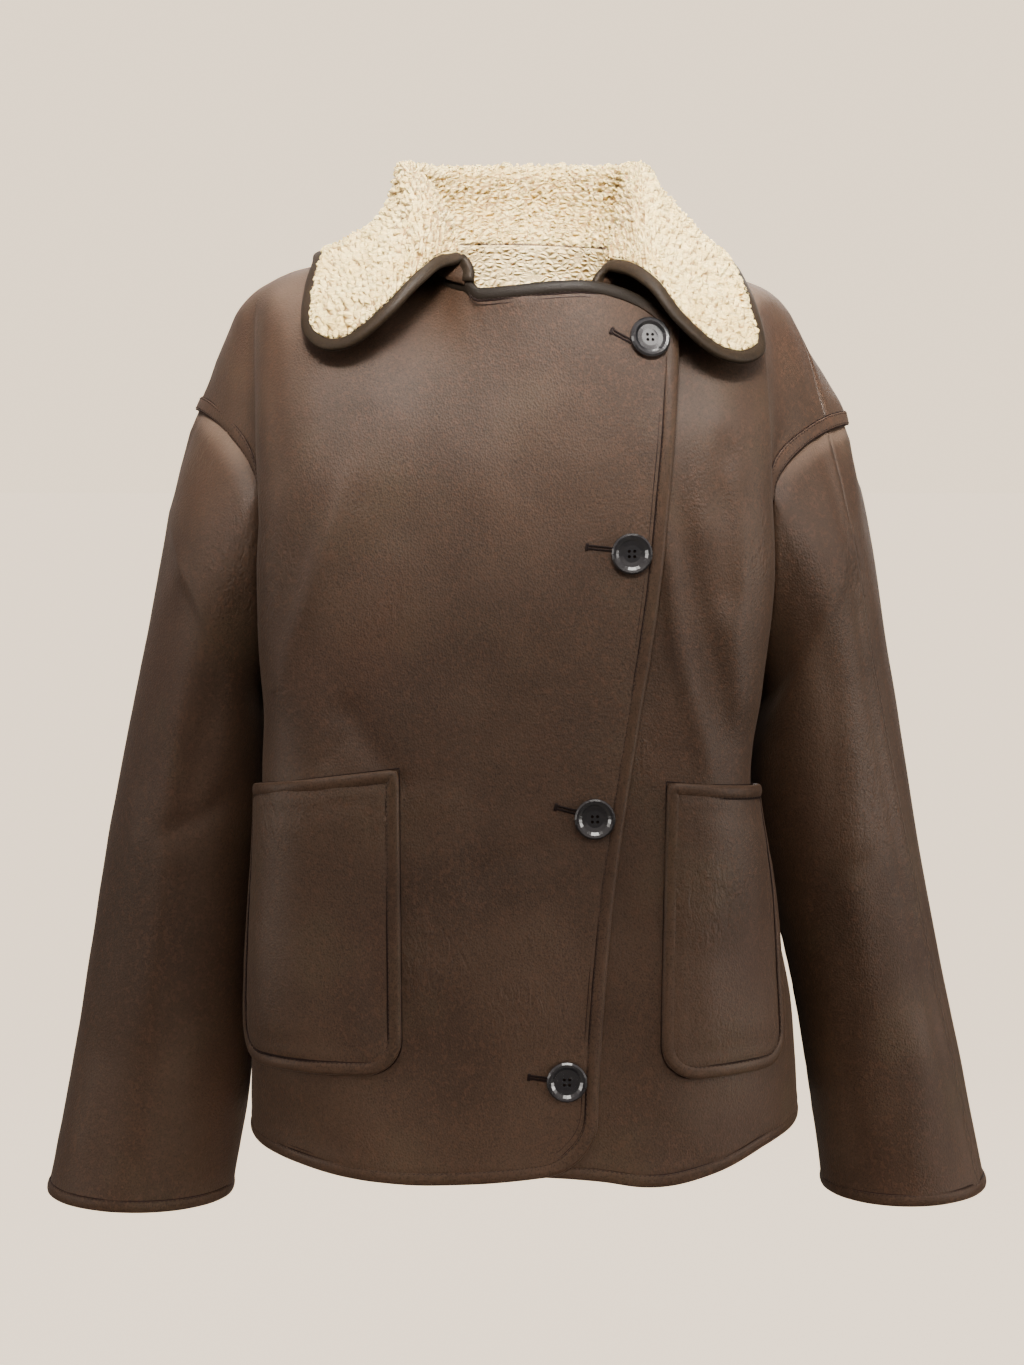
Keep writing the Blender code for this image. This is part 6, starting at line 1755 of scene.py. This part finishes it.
# Each buttonhole's stitches lie side by side in two lanes, and three bars close its outer end.
HOLE_STITCHES = 26
LANES = (-0.00105, 0.00105)
LANE_ACROSS = np.array([-0.0009, -0.0003, 0.0003, 0.0009])
LANE_RISE = np.array([-0.0001, 0.00055, 0.00055, -0.0001])
LANE_RADII = np.array([0.6, 1, 1, 0.6]) * 0.00042
BARS = (-0.0007, 0.0, 0.0007)
BAR_REACH = 0.0027
BAR_RISE = 0.0006
BAR_RADII = np.array([0.5, 1, 1, 1, 1, 0.5]) * 0.00050
hole_threads = Threads()
for x0, z0, x1, z1 in BUTTONHOLES:
    shares = np.linspace(0, 1, HOLE_STITCHES)
    spots, ups = zip(*(on_front(x0 + (x1 - x0) * share, z0 + (z1 - z0) * share) for share in shares))
    spots, ups = np.array(spots), unit(np.array(ups))
    forward = unit(np.gradient(spots, axis=0))
    side = unit(np.cross(ups, forward))
    for offset in LANES:
        stitch = (spots + side * offset)[:, None] + side[:, None] * LANE_ACROSS[None, :, None]
        stitch = stitch + ups[:, None] * LANE_RISE[None, :, None]
        hole_threads.add(stitch, ups[:, None], forward[:, None], LANE_RADII)
    along_bar = np.linspace(-BAR_REACH, BAR_REACH, len(BAR_RADII))[:, None]
    bar = spots[0] + side[0] * along_bar + ups[0] * BAR_RISE
    for nudge in BARS:
        hole_threads.add((bar + forward[0] * nudge)[None], forward[:1, None], ups[:1, None], BAR_RADII)
hole_threads.finish("buttonhole_thread", HOLE_THREAD)
for number in range(1, 5):
    for slot_of in frame["nodes"][f"button_{number}"].material_slots:
        slot_of.link = "OBJECT"
        slot_of.material = HORN
edge_threads.finish("edge_stitches", THREAD)
shade_and_stitch_tubes.finish("painted_shade_and_stitch_lines", SHADE_AND_STITCH_THREAD)
seam_threads.finish("seam_stitches", THREAD)


# ---------------------------------------------------------------- camera, light and floor
PICTURE_HEIGHT = 1365  # of the photograph, in its pixels
FOCAL_LENGTH = 2721  # in the same pixels
LOOKING_DOWN = 4.152  # degrees
SENSOR_HEIGHT = 36.0
WARM_WHITE = (1.0, 0.96, 0.90)
camera_data = bpy.data.cameras.new("camera")
camera = bpy.data.objects.new("camera", camera_data)
bpy.context.scene.collection.objects.link(camera)
camera.location = (-0.008, -2.0, -0.147)
camera.rotation_euler = (math.radians(90 - LOOKING_DOWN), 0, 0)
camera_data.sensor_width = SENSOR_HEIGHT
camera_data.lens = FOCAL_LENGTH / PICTURE_HEIGHT * SENSOR_HEIGHT
bpy.context.scene.camera = camera


def area_light(name, place, target, size, power, spread=180, shiny=True):
    """A light that the camera doesn't see. One that isn't shiny leaves no highlight."""
    data = bpy.data.lights.new(name, "AREA")
    data.spread = math.radians(spread)
    data.shape = "RECTANGLE"
    data.size, data.size_y = size
    data.energy = power
    data.color = WARM_WHITE
    light = bpy.data.objects.new(name, data)
    light.location = place
    light.rotation_euler = (Vector(target) - Vector(place)).to_track_quat("-Z", "Y").to_euler()
    light.visible_camera = False
    light.visible_glossy = shiny
    bpy.context.scene.collection.objects.link(light)


area_light("key", (0.15, -0.75, 2.10), (0.0, -0.05, 0.0), (1.8, 0.8), 17, 90)
area_light("chest", (0.00, -1.05, 0.62), (0.015, -0.10, 0.105), (0.6, 0.20), 5.1, 36)
area_light("left", (-2.30, -0.90, -0.20), (0.0, 0.0, -0.45), (1.2, 1.2), 30)
area_light("right", (2.30, -0.90, -0.20), (0.0, 0.0, -0.45), (1.2, 1.2), 56)
area_light("front", (0.60, -2.20, 1.10), (0.0, 0.0, -0.50), (2.4, 0.8), 42)
area_light("low", (0.50, -1.90, -1.15), (0.20, 0.0, -0.82), (1.8, 0.2), 4.4, 30, shiny=False)
area_light("behind", (0.4, 3.0, 0.7), (0.0, 0.0, -0.3), (2.6, 2.0), 52)

WALL_COLOUR = paint(0.700, 0.562, 0.410)  # what the camera sees of the studio, and how bright
WALL_STRENGTH = 2.85
FLOOR_STRENGTH = 2.72
AMBIENT_COLOUR = paint(0.645, 0.560, 0.530)  # what lights the garment
AMBIENT_STRENGTH = 1.10


def seen_or_lit(tree, seen, lit):
    """One number for what the camera sees directly, another for light that falls on things."""
    path = tree.nodes.new("ShaderNodeLightPath")
    node = tree.nodes.new("ShaderNodeMapRange")
    node.inputs["To Min"].default_value = lit
    node.inputs["To Max"].default_value = seen
    tree.links.new(path.outputs["Is Camera Ray"], node.inputs["Value"])
    return node.outputs["Result"]


world = bpy.data.worlds.new("studio")
bpy.context.scene.world = world
world.use_nodes = True
studio = world.node_tree
background = studio.nodes["Background"]
studio.links.new(seen_or_lit(studio, WALL_STRENGTH, AMBIENT_STRENGTH), background.inputs["Strength"])
tint = studio.nodes.new("ShaderNodeMix")
tint.data_type = "RGBA"
tint.inputs[6].default_value = AMBIENT_COLOUR
tint.inputs[7].default_value = WALL_COLOUR
studio.links.new(studio.nodes["Light Path"].outputs["Is Camera Ray"], tint.inputs["Factor"])
studio.links.new(tint.outputs[2], background.inputs["Color"])

FLOOR_Z = -1.35
FLOOR_REACH = 400.0
corners = [(x * FLOOR_REACH, y * FLOOR_REACH, FLOOR_Z) for x, y in ((-1, -1), (1, -1), (1, 1), (-1, 1))]
floor_mesh = bpy.data.meshes.new("floor")
floor_mesh.from_pydata(corners, [], [(0, 1, 2, 3)])
floor = bpy.data.objects.new("floor", floor_mesh)
bpy.context.scene.collection.objects.link(floor)
floor_finish, floor_tree, floor_shader = new_material("pale_floor", 0.95, 0.1)
floor_shader.inputs["Base Color"].default_value = paint(0.16, 0.15, 0.14)
floor_shader.inputs["Emission Color"].default_value = WALL_COLOUR
floor_tree.links.new(seen_or_lit(floor_tree, FLOOR_STRENGTH, 0.0), floor_shader.inputs["Emission Strength"])
floor_mesh.materials.append(floor_finish)
